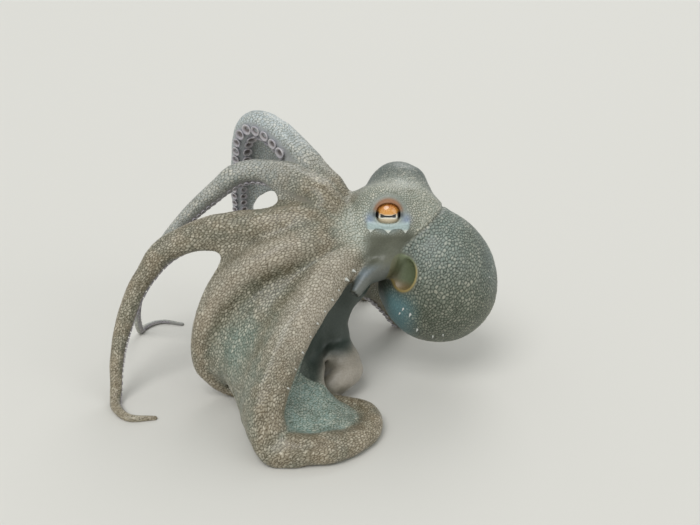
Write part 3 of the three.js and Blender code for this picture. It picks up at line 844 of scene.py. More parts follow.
cell_places, cell_lifted = place[seed].copy(), lifted[seed].copy()
sample = rng.choice(count, size=count // 3, replace=False)
for _ in range(ROUNDS):
    found = nearest_cells(sample, cell_places, cell_lifted, HITS_SPREADING)[0]
    members = np.bincount(found[:, 0], minlength=len(seed))[:, None]
    for target, source in ((cell_places, place), (cell_lifted, lifted)):
        total = np.stack([np.bincount(found[:, 0], source[sample, k], len(seed)) for k in range(3)], 1)
        target[:] = np.where(members > 0, total / np.maximum(members, 1), target)
found, squared = nearest_cells(np.arange(count), cell_places, cell_lifted, HITS)
first, second = found[:, 0], found[:, 1]
between = cell_places[second] - cell_places[first]
along = (between * flow).sum(1)
apart = np.sqrt(np.maximum((between**2).sum(1) - (1 - 1 / stretch**2) * along**2, 0.01))
border = np.clip((squared[:, 1] - squared[:, 0]) / (2 * apart), 0, None)
chance = rng.random(len(seed))[first]
dome = 1 - (1 - np.clip(border / (cell_width * GROOVE_SHARE), 0, 1)) ** 2
print("cells found, mean distance to a groove in mm:", border.mean().round(2))

# %% [markdown]
# ## Relief
#
# The cells stand a little proud of the grooves. Larger slow swellings keep the forms from
# looking turned on a lathe. Round the eye there are soft folds, and below it a scalloped skirt.
# A bump in the finish would shade all this but leave the outline smooth, so the points
# themselves are moved.


# %% Cells and slow swellings
FOLD_DEPTH = 0.9
CELL_HEIGHT, MANTLE_HIGHER, HEAD_LOWER = 0.24, 0.08, 0.06
# The slow swellings: how high and how long each is.
SWELLINGS = [(0.5, 34), (0.22, 13)]


def swelling(p, size, seed):
    """A smooth random value at each point, made of a few waves."""
    r = np.random.default_rng(seed)
    ways = unit(r.normal(size=(7, 3))) * (2 * np.pi / size) * r.uniform(0.7, 1.4, (7, 1))
    return np.sin(p @ ways.T + r.uniform(0, 2 * np.pi, 7)).sum(1) / 3.5


relief = sum(high * swelling(place, long, n) for n, (high, long) in enumerate(SWELLINGS, 1))
relief *= smooth(from_eye, 9, 20) * (1 - 0.6 * on_mantle) * smooth(size_of, 1.5, 6)
height = CELL_HEIGHT + MANTLE_HIGHER * on_mantle - HEAD_LOWER * on_head
height *= (1 - bare) * (0.45 + 0.55 * smooth(size_of, 1.5, 6))
relief += height * (dome * (0.75 + 0.5 * chance) - 0.55)
mantle_fold = 4 * on_mantle * (1 - on_mantle) * smooth(x, 26, 40) * smooth(z, 62, 80)
relief -= FOLD_DEPTH * mantle_fold

# %% Lids, folds and the skirt under each eye
SKIRT_TIPS = (-9.4, 0, 9.4)
SKIRT_HEIGHT = 0.85
SKIRT_TOP, SKIRT_EDGE, TIP_DROP = -5.9, -8.5, 2.6
# The folds round the eye: how far from its middle, how wide and how high each is.
FOLDS = [(9.6, 0.9, 0.16), (8.3, 0.55, -0.22), (12.2, 1.0, 0.12), (11, 0.6, -0.1)]


def hump(value, middle, width):
    """1 where a value is at the middle, and falling to 0 on both sides."""
    return np.exp(-(((value - middle) / width) ** 2))


near_eye = from_eye < 24
fold = sum(height * hump(from_eye, middle, width) for middle, width, height in FOLDS)
relief += np.where(near_eye, fold * (0.35 + 0.65 * smooth(eye_up, -3, 4)), 0)
tip = sum(np.exp(-np.abs((eye_side - t) / 1.5) ** 1.5) for t in SKIRT_TIPS)
skirt_edge = SKIRT_EDGE - TIP_DROP * tip + 0.004 * eye_side**2
inner = SKIRT_TOP + 0.012 * eye_side**2
skirt = smooth(eye_up, inner + 1, inner - 1.2) * smooth(eye_up, skirt_edge - 0.25, skirt_edge + 0.25)
skirt *= smooth(np.abs(eye_side), 12.5, 10.5) * near_eye
relief += SKIRT_HEIGHT * skirt
print("points on the skirts:", int((skirt > 0.5).sum()))

# %% Move the skin
moved = place + normal * relief[:, None]
moved[:, 2] = np.where(place[:, 2] < 0.02, 0, np.maximum(moved[:, 2], 0))
mesh.vertices.foreach_set("co", moved.astype(np.float32).ravel())
mesh.update()
print("relief in mm:", relief.min().round(2), relief.max().round(2))

# %% [markdown]
# ## Colour masks
#
# Warm tan lies on the ridges of the arms, teal in the troughs of the webs, and the mantle is
# greyer, with painted shade darkening it below and painted light on its top. Painted shade also
# darkens the creases, the valley under the third left arm, the hanging fourth right arm, the neck
# and the eyelids' corners, and painted light brightens the two front left ridges and the top of
# the funnel. The skin round the eye, the neck and the sucker side are bare and smooth. Each of
# these is stored on the mesh as a number from 0 to 1, for the skin's finish.

# %% Masks of the arms and webs
TROUGH, TROUGH_REACH = (-60, -39, 42), (20, 18, 24)
aboral = smooth(oral_facing, 0.2, -0.6)
low_down = smooth(z, 85, 50)


def on_arm(name, *rise):
    """1 on one arm, if wanted only from one share of its length to another."""
    mask = (arm_of == names.index(name)).astype(float)
    for start, end in zip(rise[::2], rise[1::2]):
        mask = mask * smooth(share_of, start, end)
    return mask


pale_arm = on_arm("right_1", 0.06, 0.24) + 0.5 * on_arm("left_1", 0.1, 0.25)
warm = aboral * smooth(away, 2.5, 0.5) * (1 - on_mantle) * (1 - on_head) * (1 - pale_arm)
warm *= 0.55 + 0.45 * smooth(swelling(place, 40, 3), -0.4, 0.5)
in_loop = smooth(to_loop, 6, 3) * smooth(away, 0.2, 2.6) * (0.35 + 0.65 * smooth(x, 12, -14))
from_trough = np.linalg.norm((place - TROUGH) / TROUGH_REACH, axis=1)
teal = in_web * (0.12 + 0.2 * low_down + 0.65 * smooth(from_trough, 1, 0.3))
# Painted shade below the third left arm's lower edge, where it overhangs the valley to the fourth
valley_side = (place - stations["centre"][near]) @ unit((0.75, -0.2, -0.6))
valley_shade = hump(away, 2.2, 2.4) * on_arm("left_3", 0.12, 0.25, 0.62, 0.45) * smooth(valley_side, 0, 5)
valley_shade *= normal[:, 1] < 0.2
# Painted light: the fourth left arm's ridge, and more weakly the third's, is lighter where the light falls
# on it
lit_ridge = aboral * on_arm("left_4", 0.02, 0.1, 0.36, 0.2)
lit_ridge += 0.55 * aboral * on_arm("left_3", 0.1, 0.2, 0.6, 0.4)
brown = in_web * (1 - low_down) * smooth(from_mouth, 25, 45)

# %% Masks of the mantle, its opening and the eyes
BROW = (4, -2, 98)
brow = smooth(np.linalg.norm(place - BROW, axis=1), 19, 6) * (1 - on_mantle)
beads = (1 - bare) * smooth(border / cell_width, 0.06, 0.36) * (0.22 + 0.78 * chance**1.5)
inside = smooth(to_opening, 1.3, 0.5) * smooth(x, 18, 22)
opening_side = (place - OPENING_CENTRE) @ OPENING_TURN[:, 0]
lip_line = smooth(z, 81, 74) * hump(to_opening, 0.6, 0.7) * hump(to_mantle, 0, 1.6) * smooth(x, 20, 24)
lid_glow = smooth(from_eye, 9.4, 7.0) * smooth(eye_up, -0.5, 3) * near_eye
lid_pale = smooth(from_eye, 13, 8) * near_eye * (1 - lid_glow) * (0.1 + 0.9 * smooth(eye_up, 2, -3))
eye_corner = np.abs(eye_side)

# %% Store the masks
MASKS = {
    "cell": dome, "bead": beads, "mantle": on_mantle, "head": on_head, "bare": bare, "neck": neck,
    "sucker_side": sucker_side, "warm": warm, "teal": teal, "brown": brown, "valley_shade": valley_shade,
    "pale_arm": pale_arm, "lit_ridge": lit_ridge, "shaded_hanging": shaded_hanging, "knee": knee,
    "in_loop": in_loop * (1 - shaded_hanging) * (1 - knee), "brow": brow,
    "far_side": on_head * smooth(y, 12, 32), "mantle_fold": mantle_fold,
    # Painted shade: the mantle is darker towards its lower side, away from the light above
    "shaded_mantle_underside": on_mantle * smooth(z + 0.35 * y - 0.2 * x, 66, 30),
    "blue_mantle": on_mantle * smooth(x, 42, 24) * smooth(z, 66, 50),
    # Painted light on the mantle's top, which faces the light above
    "lit_mantle_top": on_mantle * smooth(z, 62, 88) * smooth(x, 80, 50),
    "edge_mantle": on_mantle * smooth(x, 66, 84) * smooth(z, 45, 70),
    "inside": inside, "brown_inside": inside * smooth(opening_side, 1.0, -5.0),
    "rust_inside": inside * smooth(z, 68.5, 64), "lip_line": lip_line,
    # Painted highlight along the upward-facing top of the funnel
    "funnel": on_funnel, "funnel_top_highlight": on_funnel * smooth(normal[:, 2], 0.45, 0.85),
    "lid_glow": lid_glow, "lid_pale": lid_pale, "skirt": skirt,
    "lower_lid": smooth(from_eye, 8.2, 7.0) * smooth(eye_up, -1.5, -4) * near_eye,
    "lid_blue": hump(eye_corner, 10.2, 2.4) * hump(eye_up, -3.5, 3.0) * near_eye,
    # Painted shadow in the eyelids' side corners
    "lid_corner_shadow": hump(eye_corner, 7.4, 1.3) * hump(eye_up, -0.8, 1.5) * near_eye,
    "skirt_tips": skirt * smooth(eye_up, -8.2, -9.6),
    # Painted shade: how closely other skin stands over each point, to darken creases and hollows
    "crease_shade": 1 - field_at(place + normal * 7) / 7,
}


def store(mesh, name, values):
    layer = mesh.attributes.new(name, "FLOAT", "POINT")
    layer.data.foreach_set("value", np.clip(values, 0, 1).astype(np.float32))


for name, values in MASKS.items():
    store(mesh, name, values)
print("masks stored:", len(MASKS))

# %% [markdown]
# ## Finishes
#
# Wet skin is soft, slightly glossy and never of one colour. It could be painted as a picture, but
# nodes stay sharp at any size and can be changed one by one. The skin's finish starts from the
# groove colour, adds the cell, and lays the masks' tints over it, painted shade and painted light
# among them. Fine noise breaks every colour up, and a small bump gives the skin its grain.


# %% A helper for finishes
def colour(red, green, blue):
    """A colour given as it looks on a screen, 0 to 255."""
    screen = [level / 255 for level in (red, green, blue)]
    return (*[c / 12.92 if c <= 0.04 else ((c + 0.055) / 1.055) ** 2.4 for c in screen], 1)


# A Mix node has sockets of each kind, and these are its colour ones.
MIX_UNDER, MIX_OVER, MIX_COLOUR = 6, 7, 2


class Finish:
    """A material whose colour is mixed from masks and noise."""

    def __init__(self, name, roughness, coat=0.0, coat_roughness=0.1):
        self.material = bpy.data.materials.new(name)
        self.material.use_nodes = True
        self.nodes, self.links = self.material.node_tree.nodes, self.material.node_tree.links
        self.shader = self.nodes["Principled BSDF"]
        self.shader.inputs["Roughness"].default_value = roughness
        self.shader.inputs["Coat Weight"].default_value = coat
        self.shader.inputs["Coat Roughness"].default_value = coat_roughness
        self.place = self.nodes.new("ShaderNodeTexCoord").outputs["Object"]

    def mask(self, name):
        node = self.nodes.new("ShaderNodeAttribute")
        node.attribute_name = name
        return node.outputs["Fac"]

    def vector(self, name):
        node = self.nodes.new("ShaderNodeAttribute")
        node.attribute_name = name
        parts = self.nodes.new("ShaderNodeSeparateXYZ")
        self.links.new(node.outputs["Vector"], parts.inputs[0])
        return parts.outputs

    def _feed(self, socket, value):
        if hasattr(value, "links"):
            self.links.new(value, socket)
        else:
            socket.default_value = value

    def maths(self, operation, *values):
        node = self.nodes.new("ShaderNodeMath")
        node.operation = operation
        for socket, value in zip(node.inputs, values):
            self._feed(socket, value)
        return node.outputs[0]

    def span(self, value, start, end, low=0.0, high=1.0):
        node = self.nodes.new("ShaderNodeMapRange")
        node.interpolation_type = "SMOOTHSTEP"
        names = ("Value", "From Min", "From Max", "To Min", "To Max")
        for name, number in zip(names, (value, start, end, low, high)):
            self._feed(node.inputs[name], number)
        return node.outputs["Result"]

    def noise(self, size, detail=2.0):
        node = self.nodes.new("ShaderNodeTexNoise")
        self.links.new(self.place, node.inputs["Vector"])
        node.inputs["Scale"].default_value = 1 / (size * MM)
        node.inputs["Detail"].default_value = detail
        return node.outputs["Fac"]

    def tint(self, share, under, over, mode="MIX"):
        node = self.nodes.new("ShaderNodeMix")
        node.data_type, node.blend_type = "RGBA", mode
        self._feed(node.inputs["Factor"], share)
        self._feed(node.inputs[MIX_UNDER], under)
        self._feed(node.inputs[MIX_OVER], over)
        return node.outputs[MIX_COLOUR]

    def times(self, a, b):
        return self.maths("MULTIPLY", a, b)

    def layers(self, under, tints):
        """Lays tints over a colour, each where its mask is, as strong as stated."""
        for name, strength, over in tints:
            under = self.tint(self.times(self.mask(name), strength), under, over)
        return under

    def bump(self, height, depth):
        node = self.nodes.new("ShaderNodeBump")
        self.links.new(height, node.inputs["Height"])
        node.inputs["Distance"].default_value = depth * MM
        self.links.new(node.outputs["Normal"], self.shader.inputs["Normal"])

    def paint(self, value):
        self.links.new(value, self.shader.inputs["Base Color"])


# %% The ground colour of the skin
skin_finish = Finish("octopus_skin", roughness=0.46, coat=0.2, coat_roughness=0.28)
f = skin_finish
patches, grain = f.noise(9, 3), f.noise(1.1, 2)
mantle_ground = f.tint(f.span(patches, 0.35, 0.65), colour(93, 103, 91), colour(109, 119, 107))
ground = f.tint(f.span(patches, 0.35, 0.65), colour(118, 120, 104), colour(140, 130, 108))
ground = f.layers(ground, [
    ("warm", 0.6, colour(140, 124, 98)),
    # Painted light on the lit ridges of the fourth and third left arms
    ("lit_ridge", 0.7, colour(200, 190, 176)),
    ("brown", 0.6, colour(120, 106, 82)),
    ("teal", 0.75, colour(118, 144, 136)),
    # Painted shade under the third left arm's overhanging edge
    ("valley_shade", 0.65, colour(92, 90, 62)),
    # Painted shadow on the fourth right arm where it hangs behind the front web
    ("shaded_hanging", 0.8, colour(80, 92, 84)),
    ("in_loop", f.span(patches, 0.3, 0.6, 0.45, 0.85), colour(152, 182, 178)),
    ("pale_arm", 1, colour(192, 204, 210)),
    ("mantle", 1, mantle_ground),
    # Painted light on the mantle's top
    ("lit_mantle_top", 0.5, colour(130, 148, 145)),
    ("edge_mantle", 0.5, colour(108, 130, 134)),
    ("head", 0.7, colour(160, 170, 161)),
    ("brow", 0.6, colour(198, 207, 198)),
    ("far_side", 0.8, colour(92, 104, 100)),
    # Painted shade on the mantle's lower side
    ("shaded_mantle_underside", 0.65, colour(78, 90, 70)),
])
groove_tint = f.tint(f.mask("mantle"), colour(174, 168, 152), colour(142, 142, 126))
groove = f.tint(1.0, ground, groove_tint, "MULTIPLY")
# Painted shade in the fold between head and mantle, which the relief also presses in
ground = f.layers(ground, [("mantle_fold", 0.5, colour(78, 92, 92))])

# %% The cells, the places with colours of their own, and painted shade and light
BEAD_ON_ARMS, BEAD_ON_MANTLE = 0.66, 0.36
CREASE_SHADE_STRENGTH, GRAIN_STRENGTH = 0.85, 0.35
bead_strength = f.span(f.mask("mantle"), 0, 1, BEAD_ON_ARMS, BEAD_ON_MANTLE)
bead = f.tint(bead_strength, ground, colour(236, 228, 208))
bare_skin = f.tint(f.span(patches, 0.3, 0.7), colour(134, 138, 128), colour(150, 153, 143))
sucker_skin = f.tint(f.mask("pale_arm"), colour(134, 125, 108), colour(172, 176, 180))
painted = f.tint(f.span(f.mask("cell"), 0.08, 0.82), groove, ground)
painted = f.layers(painted, [
    ("bead", 1, bead),
    ("far_side", 0.5, colour(92, 102, 100)),
    ("bare", 0.8, bare_skin),
    ("sucker_side", 1, sucker_skin),
    ("blue_mantle", 0.8, colour(126, 172, 182)),
    # Painted shadow, dark teal-grey, on the hanging fourth right arm
    ("shaded_hanging", 0.85, colour(46, 62, 56)),
    ("knee", 0.75, colour(180, 170, 158)),
    # Painted shade under the head, laid over the neck's own brownish skin
    ("neck", 0.8, colour(84, 86, 68)),
    ("funnel", 0.8, colour(94, 98, 94)),
    # Painted highlight, bluish, on the funnel's upward-facing top
    ("funnel_top_highlight", 0.6, colour(122, 142, 158)),
    ("lid_pale", 0.8, colour(164, 178, 178)),
    ("lid_blue", 0.7, colour(128, 146, 178)),
    ("lower_lid", 0.7, colour(196, 200, 188)),
    ("lid_glow", 0.85, colour(158, 104, 64)),
    # Painted shadow in the eyelids' side corners
    ("lid_corner_shadow", 0.75, colour(52, 54, 66)),
    ("skirt", 0.85, colour(184, 204, 204)),
    ("skirt_tips", 1, colour(232, 236, 228)),
    ("inside", 1, colour(112, 122, 92)),
    ("brown_inside", 0.8, colour(96, 90, 68)),
    ("rust_inside", 0.6, colour(128, 90, 56)),
    ("lip_line", 0.8, colour(178, 156, 96)),
])
WHITE = colour(255, 255, 255)
# Painted shade: the colour is darkened in creases and hollows, where other skin stands close over it
shade = f.tint(f.mask("crease_shade"), WHITE, colour(176, 178, 170))
painted = f.tint(CREASE_SHADE_STRENGTH, painted, shade, "MULTIPLY")
speckle = f.tint(f.span(grain, 0.3, 0.7), colour(205, 205, 205), WHITE)
f.paint(f.tint(GRAIN_STRENGTH, painted, speckle, "MULTIPLY"))
f.bump(f.maths("ADD", f.times(grain, 0.5), f.times(f.noise(0.45, 1), 0.3)), 0.18)
mesh.materials.append(skin_finish.material)
print("nodes in the skin's finish:", len(f.nodes))

# %% Put the skin in the frame
FLESH = [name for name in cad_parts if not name.startswith("eye_")]


def into_frame(mesh):
    """Moves a mesh made in millimetres into the solid model's frame, in metres."""
    mesh.transform(Matrix.Translation(Vector(shift * MM)) @ Matrix.Scale(MM, 4))
    mesh.polygons.foreach_set("use_smooth", [True] * len(mesh.polygons))
    mesh.update()
    piece = bpy.data.objects.new(mesh.name, mesh)
    bpy.context.scene.collection.objects.link(piece)
    return piece


def piece_from(name, points, faces, finish):
    made = bpy.data.meshes.new(name)
    made.from_pydata([tuple(p) for p in points], [], [tuple(face) for face in faces])
    made.validate()
    made.materials.append(finish.material)
    return made


skin_piece = into_frame(mesh)
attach(skin_piece, "root")
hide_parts(*FLESH)

# %% [markdown]
# ## Eyes
#
# The eye has an orange iris, and below the middle a thin level slit with a white outline. Painted
# shadow darkens the iris to a blackish brown at its corners, where the lids overhang it, and at its
# edge deep under the lids. Blender's own sphere has its rings as close at the back as in front.
# So the ball is turned from rings that crowd together in front, and the slit is pressed in. Each
# point's place on the eye is stored in millimetres, and the iris is painted from it.

# %% Rings joined to a closed form
def ring_faces(base, rows, sides):
    """Quads between rings of points, and a fan from each end ring to a hub. The hubs are the two
    points after the rings: the last ring's, then the first ring's."""
    last_hub, first_hub = base + rows * sides, base + rows * sides + 1
    last = base + (rows - 1) * sides
    faces = []
    for n in range(sides):
        m = (n + 1) % sides
        for row in range(base, last, sides):
            faces.append((row + n, row + m, row + sides + m, row + sides + n))
        faces.append((last + n, last + m, last_hub))
        faces.append((base + m, base + n, first_hub))
    return faces


def circle(sides):
    """The cosines and sines of evenly spread angles, as columns."""
    around = np.linspace(0, 2 * np.pi, sides, endpoint=False)
    return np.cos(around)[:, None], np.sin(around)[:, None]


# %% Eyeballs
RINGS, SPOKES = 56, 96
FRONT_CROWDING = 1.6
SLIT_HALF_WIDTH = 4.4
SLIT_DEPTH = 0.35
SLIT_UP, SLIT_CURVE = -1.9, 0.022
SLIT_THIN, SLIT_THICKER = 0.5, 0.45
SLIT_SWELLS = (1.5, SLIT_HALF_WIDTH * 0.86)


def eyeball(name, eye):
    turn = np.pi * (np.linspace(0, 1, RINGS + 1)[1:-1] ** FRONT_CROWDING)[:, None]
    cosine, sine = circle(SPOKES)
    side, up, out = np.sin(turn) * cosine.T, np.sin(turn) * sine.T, np.cos(turn) + 0 * cosine.T
    local = np.stack([side.ravel(), up.ravel(), out.ravel()], 1)
    local = EYE_RADIUS * np.vstack([local, (0, 0, -1), (0, 0, 1)])
    side, up, out = local.T
    height = SLIT_THIN + SLIT_THICKER * smooth(np.abs(side), *SLIT_SWELLS)
    in_slit = smooth(np.abs(up - SLIT_UP - SLIT_CURVE * side**2) / height, 1.25, 0.8) * (out > 0)
    in_slit *= smooth(np.abs(side), SLIT_HALF_WIDTH + 0.2, SLIT_HALF_WIDTH - 0.2)
    basis = np.stack([eye["side"], eye["up"], eye["looks"]])
    pressed = local * (1 - SLIT_DEPTH * in_slit / EYE_RADIUS)[:, None]
    faces = [face[::-1] for face in ring_faces(0, len(turn), SPOKES)]
    made = piece_from(name, pressed @ basis + eye["centre"], faces, eye_finish)
    layer = made.attributes.new("eye_place", "FLOAT_VECTOR", "POINT")
    layer.data.foreach_set("vector", local.astype(np.float32).ravel())
    return made


# %% The eye's finish
eye_finish = Finish("octopus_eye", roughness=0.3, coat=1.0, coat_roughness=0.03)
f = eye_finish
side, up, out = f.vector("eye_place")
sideways = f.maths("ABSOLUTE", side)
slit_middle = f.maths("ADD", f.times(f.times(side, side), SLIT_CURVE), SLIT_UP)
above_slit = f.maths("SUBTRACT", up, slit_middle)
slit_height = f.span(sideways, *SLIT_SWELLS, SLIT_THIN, SLIT_THIN + SLIT_THICKER)
from_slit = f.maths("SUBTRACT", f.maths("ABSOLUTE", above_slit), slit_height)
iris = f.tint(f.span(up, 0.5, 4.8), colour(214, 146, 62), colour(176, 96, 34))
iris = f.tint(f.span(f.noise(0.7, 3), 0.4, 0.75), iris, colour(228, 172, 96))
lower = f.tint(f.span(up, -2.0, -5.2), colour(240, 222, 192), colour(214, 196, 168))
iris = f.tint(f.span(up, -0.4, -1.4), iris, lower)
# Painted shadow: the iris goes blackish brown at its sides, where the lids' corners overhang it
level = f.maths("ABSOLUTE", f.maths("ADD", up, 1.0))
corner = f.times(f.span(sideways, 4.5, 5.4), f.span(level, 3.0, 1.2))
iris = f.tint(corner, iris, colour(26, 22, 20))
outline = f.times(f.span(from_slit, 0.75, 0.25), f.span(sideways, 5.6, 4.6))
outline = f.times(outline, f.span(above_slit, 0.1, -0.3, 0.35, 1.0))
iris = f.tint(outline, iris, colour(240, 236, 222))
slit_ends = f.span(sideways, SLIT_HALF_WIDTH + 0.1, SLIT_HALF_WIDTH - 0.15)
iris = f.tint(f.times(f.span(from_slit, 0.12, -0.08), slit_ends), iris, colour(8, 8, 10))
# Painted shade: the eye darkens towards its edge, deep in the socket under the lids
iris = f.tint(f.span(out, 4.4, 3.0), iris, colour(40, 34, 30))
f.paint(iris)

# %% Set the eyes
for name, eye in EYES.items():
    piece = into_frame(eyeball(f"eyeball_{name}", eye))
    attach(piece, "root")
    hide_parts(f"eye_{name}")
print("eyeballs set, across in mm:", 2 * EYE_RADIUS)

# %% [markdown]
# ## Suckers
#
# Two rows of cups run down the mouth side of every arm, smaller towards its tip. Each cup is a
# turned outline: a flared rim round a hollow. Cups could be raised from the skin, but its quads
# are too coarse for their thin rims, so they are a mesh of their own. Each is set where the skin
# is found on the way out from the arm's middle, and left out where the arm lies on its suckers.

# %% Find the skin along a way out
PACE = 0.4


def surface_along(start, way, furthest):
    """How far out from each start the skin is, or -1 where none is found."""
    steps = np.arange(0, furthest, PACE)
    values = field_at(start[:, None] + way[:, None] * steps[None, :, None])
    outside = values > 0
    hit = outside.argmax(1)
    found = outside.any(1) & (hit > 0)
    hit = np.maximum(hit, 1)
    n = np.arange(len(start))
    a, b = values[n, hit - 1], values[n, hit]
    return np.where(found, steps[hit - 1] + PACE * a / np.where(a == b, 1, a - b), -1)


# %% Place the suckers
SUCKER_SIZE, SMALLEST_CUP = 0.31, 0.8
LARGE_ON = {"right_1": 1.3}
FIRST_CUP, LAST_CUP = CROWN_CORE * 0.8, 0.97
CUP_SPACING, CLOSEST = 2.25, 2.2
SUCKER_TURN = 0.52
CLEAR_AT, CLEAR_GAP = 2.2, 1.2
cups = []
for name, arm in arms.items():
    for row in (-1, 1):
        at = FIRST_CUP + (2 if row > 0 else 0)
        while at < arm["total"] * LAST_CUP:
            share = at / arm["total"]
            size = np.interp(share, arm["share"], arm["size"])
            cup = max(SMALLEST_CUP, SUCKER_SIZE * size * LARGE_ON.get(name, 1))
            centre, tangent, oral = (at_share(arm, key, share) for key in ("centre", "tangent", "oral"))
            tangent = unit(tangent)
            oral = unit(oral - tangent * (oral @ tangent))
            across = np.cross(tangent, oral)
            way = math.cos(SUCKER_TURN) * oral + row * math.sin(SUCKER_TURN) * across
            cups.append((centre, way, tangent, size, cup))
            at += max(CLOSEST, CUP_SPACING * cup)
centres, ways, runs, sizes, radii = (np.array(v) for v in zip(*cups))
reach = surface_along(centres, ways, 16)
seats = centres + ways * reach[:, None]
# A cup stays where the skin was found close by, clear of the floor and of the next arm.
kept = (reach > 0) & (reach < sizes * 1.35 + 0.8) & (seats[:, 2] > 0.35 * sizes + 0.6)
kept &= field_at(seats + ways * CLEAR_AT) > CLEAR_GAP
print("suckers:", int(kept.sum()), "of", len(cups))

# %% Turn the cups
# The outline from the foot over the rim into the hollow, as shares of the cup's radius.
CUP_PROFILE = [(0.55, -0.5), (0.72, -0.1), (0.86, 0.22), (1.0, 0.42), (0.96, 0.56), (0.78, 0.56),
               (0.58, 0.34), (0.42, 0.12), (0.2, 0.04)]
CUP_SIDES = 14
CUP_FLATTER = 0.8
# The cup's hollow is given painted shade, darker towards its bottom
sucker_points, sucker_faces, cup_shade_mask = [], [], []
cosine, sine = circle(CUP_SIDES)
for seat, way, run, radius in zip(seats[kept], ways[kept], runs[kept], radii[kept]):
    radius *= rng.uniform(0.9, 1.08)
    a = unit(run - way * (run @ way))
    b = np.cross(way, a)
    sucker_faces.extend(ring_faces(len(sucker_points), len(CUP_PROFILE), CUP_SIDES))
    for r, h in CUP_PROFILE:
        sucker_points.extend(seat + radius * (r * (cosine * a + sine * b) + h * CUP_FLATTER * way))
        cup_shade_mask.extend([smooth(h, 0.5, 0.1) if r < 0.75 and h > -0.05 else 0] * CUP_SIDES)
    sucker_points.extend([seat + radius * 0.03 * way, seat - radius * 0.45 * way])
    cup_shade_mask.extend([1, 0])
print("faces of the cups:", len(sucker_faces))

# %% The suckers' finish
sucker_finish = Finish("octopus_suckers", roughness=0.42, coat=0.2, coat_roughness=0.25)
f = sucker_finish
rim = f.tint(f.span(f.noise(3, 2), 0.35, 0.65), colour(178, 174, 182), colour(196, 192, 194))
# Painted shade: the cup darkens into its hollow
f.paint(f.tint(f.mask("hollow"), rim, colour(120, 112, 112)))
f.bump(f.noise(0.6, 2), 0.1)
made = piece_from("suckers", sucker_points, sucker_faces, sucker_finish)
store(made, "hollow", np.array(cup_shade_mask))
suckers = into_frame(made)
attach(suckers, "root")

# %% [markdown]
# ## Papillae
#
# Small pale cones of skin stand along the edge of the fourth left arm, with a few more on the
# mantle. Like the cups they are too fine for the skin's quads. Each is a short cone on a curved
# line, seated where a way out from inside meets the skin.

# %% Seat the papillae
# On the arm: the share of its length and the height. On the mantle: the way out and the height.
ON_ARM = [(0.08, 2.6), (0.105, 2.9), (0.135, 1.7), (0.16, 2.1), (0.19, 1.7), (0.22, 1.9), (0.25, 1.6),
          (0.285, 1.8), (0.32, 1.5), (0.36, 1.6)]
ON_MANTLE = [((0.5, -0.7, 0.5), 1.0), ((0.8, -0.55, 0.2), 1.1), ((0.2, -0.9, 0.5), 0.9),
             ((-0.61, -0.73, -0.29), 1.7), ((-0.5, -0.8, -0.36), 2.0), ((-0.66, -0.66, -0.4), 1.5),
             ((0.05, -0.75, -0.7), 1.3), ((-0.35, -0.7, -0.62), 1.8), ((-0.1, -0.68, -0.72), 1.5),
             ((0.6, 0.4, 0.7), 1.0), ((0.3, 0.8, 0.3), 1.1), ((0.8, 0.5, -0.2), 1.0)]
EDGE_WAY = np.array((1, -0.5, 0.15))
arm = arms["left_4"]
shares = np.array([share for share, _ in ON_ARM])
tangents = at_share(arm, "tangent", shares)
edge_ways = unit(EDGE_WAY - tangents * (tangents @ EDGE_WAY)[:, None])
starts = np.vstack([at_share(arm, "centre", shares), [MANTLE_CENTRE] * len(ON_MANTLE)])
ways = np.vstack([edge_ways, unit([way for way, _ in ON_MANTLE])])
heights = [height for _, height in ON_ARM + ON_MANTLE]
seats = starts + ways * surface_along(starts, ways, 60)[:, None]

# %% Shape them
PAPILLA_SIDES, PAPILLA_RINGS = 12, 7
PAPILLA_WIDTH, PAPILLA_POWER = 0.42, 0.8
SUNK = 0.4
DROOP = np.array((0, 0, 0.35))
papilla_points, papilla_faces = [], []
cosine, sine = circle(PAPILLA_SIDES)
for seat, way, height in zip(seats, ways, heights):
    a = unit(np.cross(way, (0.3, 0.2, 1)))
    b = np.cross(way, a)
    papilla_faces.extend(ring_faces(len(papilla_points), PAPILLA_RINGS, PAPILLA_SIDES))
    for up in np.arange(PAPILLA_RINGS) / PAPILLA_RINGS:
        centre = seat + way * (up * height - SUNK) - DROOP * height * up**2
        radius = height * PAPILLA_WIDTH * (1 - up) ** PAPILLA_POWER
        papilla_points.extend(centre + radius * (cosine * a + sine * b))
    papilla_points.extend([seat + way * (height - SUNK) - DROOP * height, seat - way * 0.5])
papilla_finish = Finish("octopus_papillae", roughness=0.4, coat=0.2, coat_roughness=0.25)
papilla_finish.shader.inputs["Base Color"].default_value = colour(194, 196, 190)
papillae = into_frame(piece_from("papillae", papilla_points, papilla_faces, papilla_finish))
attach(papillae, "root")
print("papillae:", len(seats))

# %% [markdown]
# ## Floor, light and camera
#
# A plain pale floor, wide enough to fill the view, and a pale room. One broad soft light shines
# from above the viewer's left shoulder, with weaker ones from the right and from behind. Lamps
# that stand near would leave the far floor dark, so all three shine like a wide sky. The camera
# looks down a little at the head.

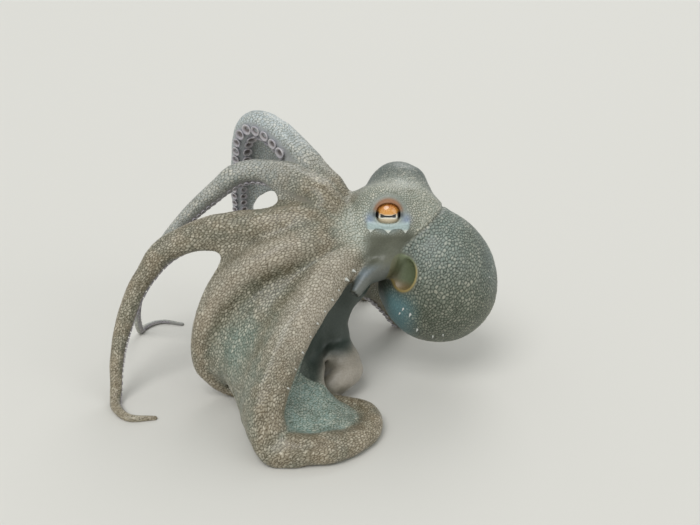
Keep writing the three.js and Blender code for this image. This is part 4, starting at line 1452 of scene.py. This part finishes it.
# %% Floor
FLOOR_HALF = 40.0
floor_mesh = bpy.data.meshes.new("floor")
floor_corners = [(x * FLOOR_HALF, y * FLOOR_HALF, 0) for x, y in ((-1, -1), (1, -1), (1, 1), (-1, 1))]
floor_mesh.from_pydata(floor_corners, [], [(0, 1, 2, 3)])
floor = bpy.data.objects.new("floor", floor_mesh)
bpy.context.scene.collection.objects.link(floor)
floor_finish = Finish("floor", roughness=0.85)
floor_finish.shader.inputs["Base Color"].default_value = colour(212, 210, 204)
floor_mesh.materials.append(floor_finish.material)

# %% Light
# From where each light shines, how broad it is in degrees, and how strong.
LIGHTS = {
    "key_light": ((-1.1, -2.2, 3.7), 34, 1.32),
    "fill_light": ((3.2, -2.1, 1.8), 38, 0.34),
    "back_light": ((0.7, 3.2, 2.9), 34, 0.64),
}
ROOM_STRENGTH = 0.84


def soft_light(name, way, spread, strength):
    """A broad light shining down from one side, as strong on the far floor as on the near."""
    lamp = bpy.data.lights.new(name, "SUN")
    lamp.angle, lamp.energy = math.radians(spread), strength
    holder = bpy.data.objects.new(name, lamp)
    holder.location = way
    holder.rotation_euler = (-Vector(way)).to_track_quat("-Z", "Y").to_euler()
    bpy.context.scene.collection.objects.link(holder)


for name, light in LIGHTS.items():
    soft_light(name, *light)
world = bpy.data.worlds.new("room")
world.use_nodes = True
room = world.node_tree.nodes["Background"].inputs
room["Color"].default_value = colour(213, 216, 215)
room["Strength"].default_value = ROOM_STRENGTH
bpy.context.scene.world = world
bpy.context.scene.view_settings.view_transform = "Standard"
print("lights:", *LIGHTS)

# %% Camera
CAMERA_PLACE = np.array((0, -430, 249.7))
CAMERA_PITCH = 22
CAMERA_FIELD = 46
lens = bpy.data.cameras.new("camera")
lens.sensor_width = 36
lens.angle = math.radians(CAMERA_FIELD)
camera = bpy.data.objects.new("camera", lens)
camera.location = (CAMERA_PLACE + shift) * MM
camera.rotation_euler = (math.radians(90 - CAMERA_PITCH), 0, 0)
bpy.context.scene.collection.objects.link(camera)
bpy.context.scene.camera = camera
print("camera in mm:", CAMERA_PLACE, "looking down in degrees:", CAMERA_PITCH)
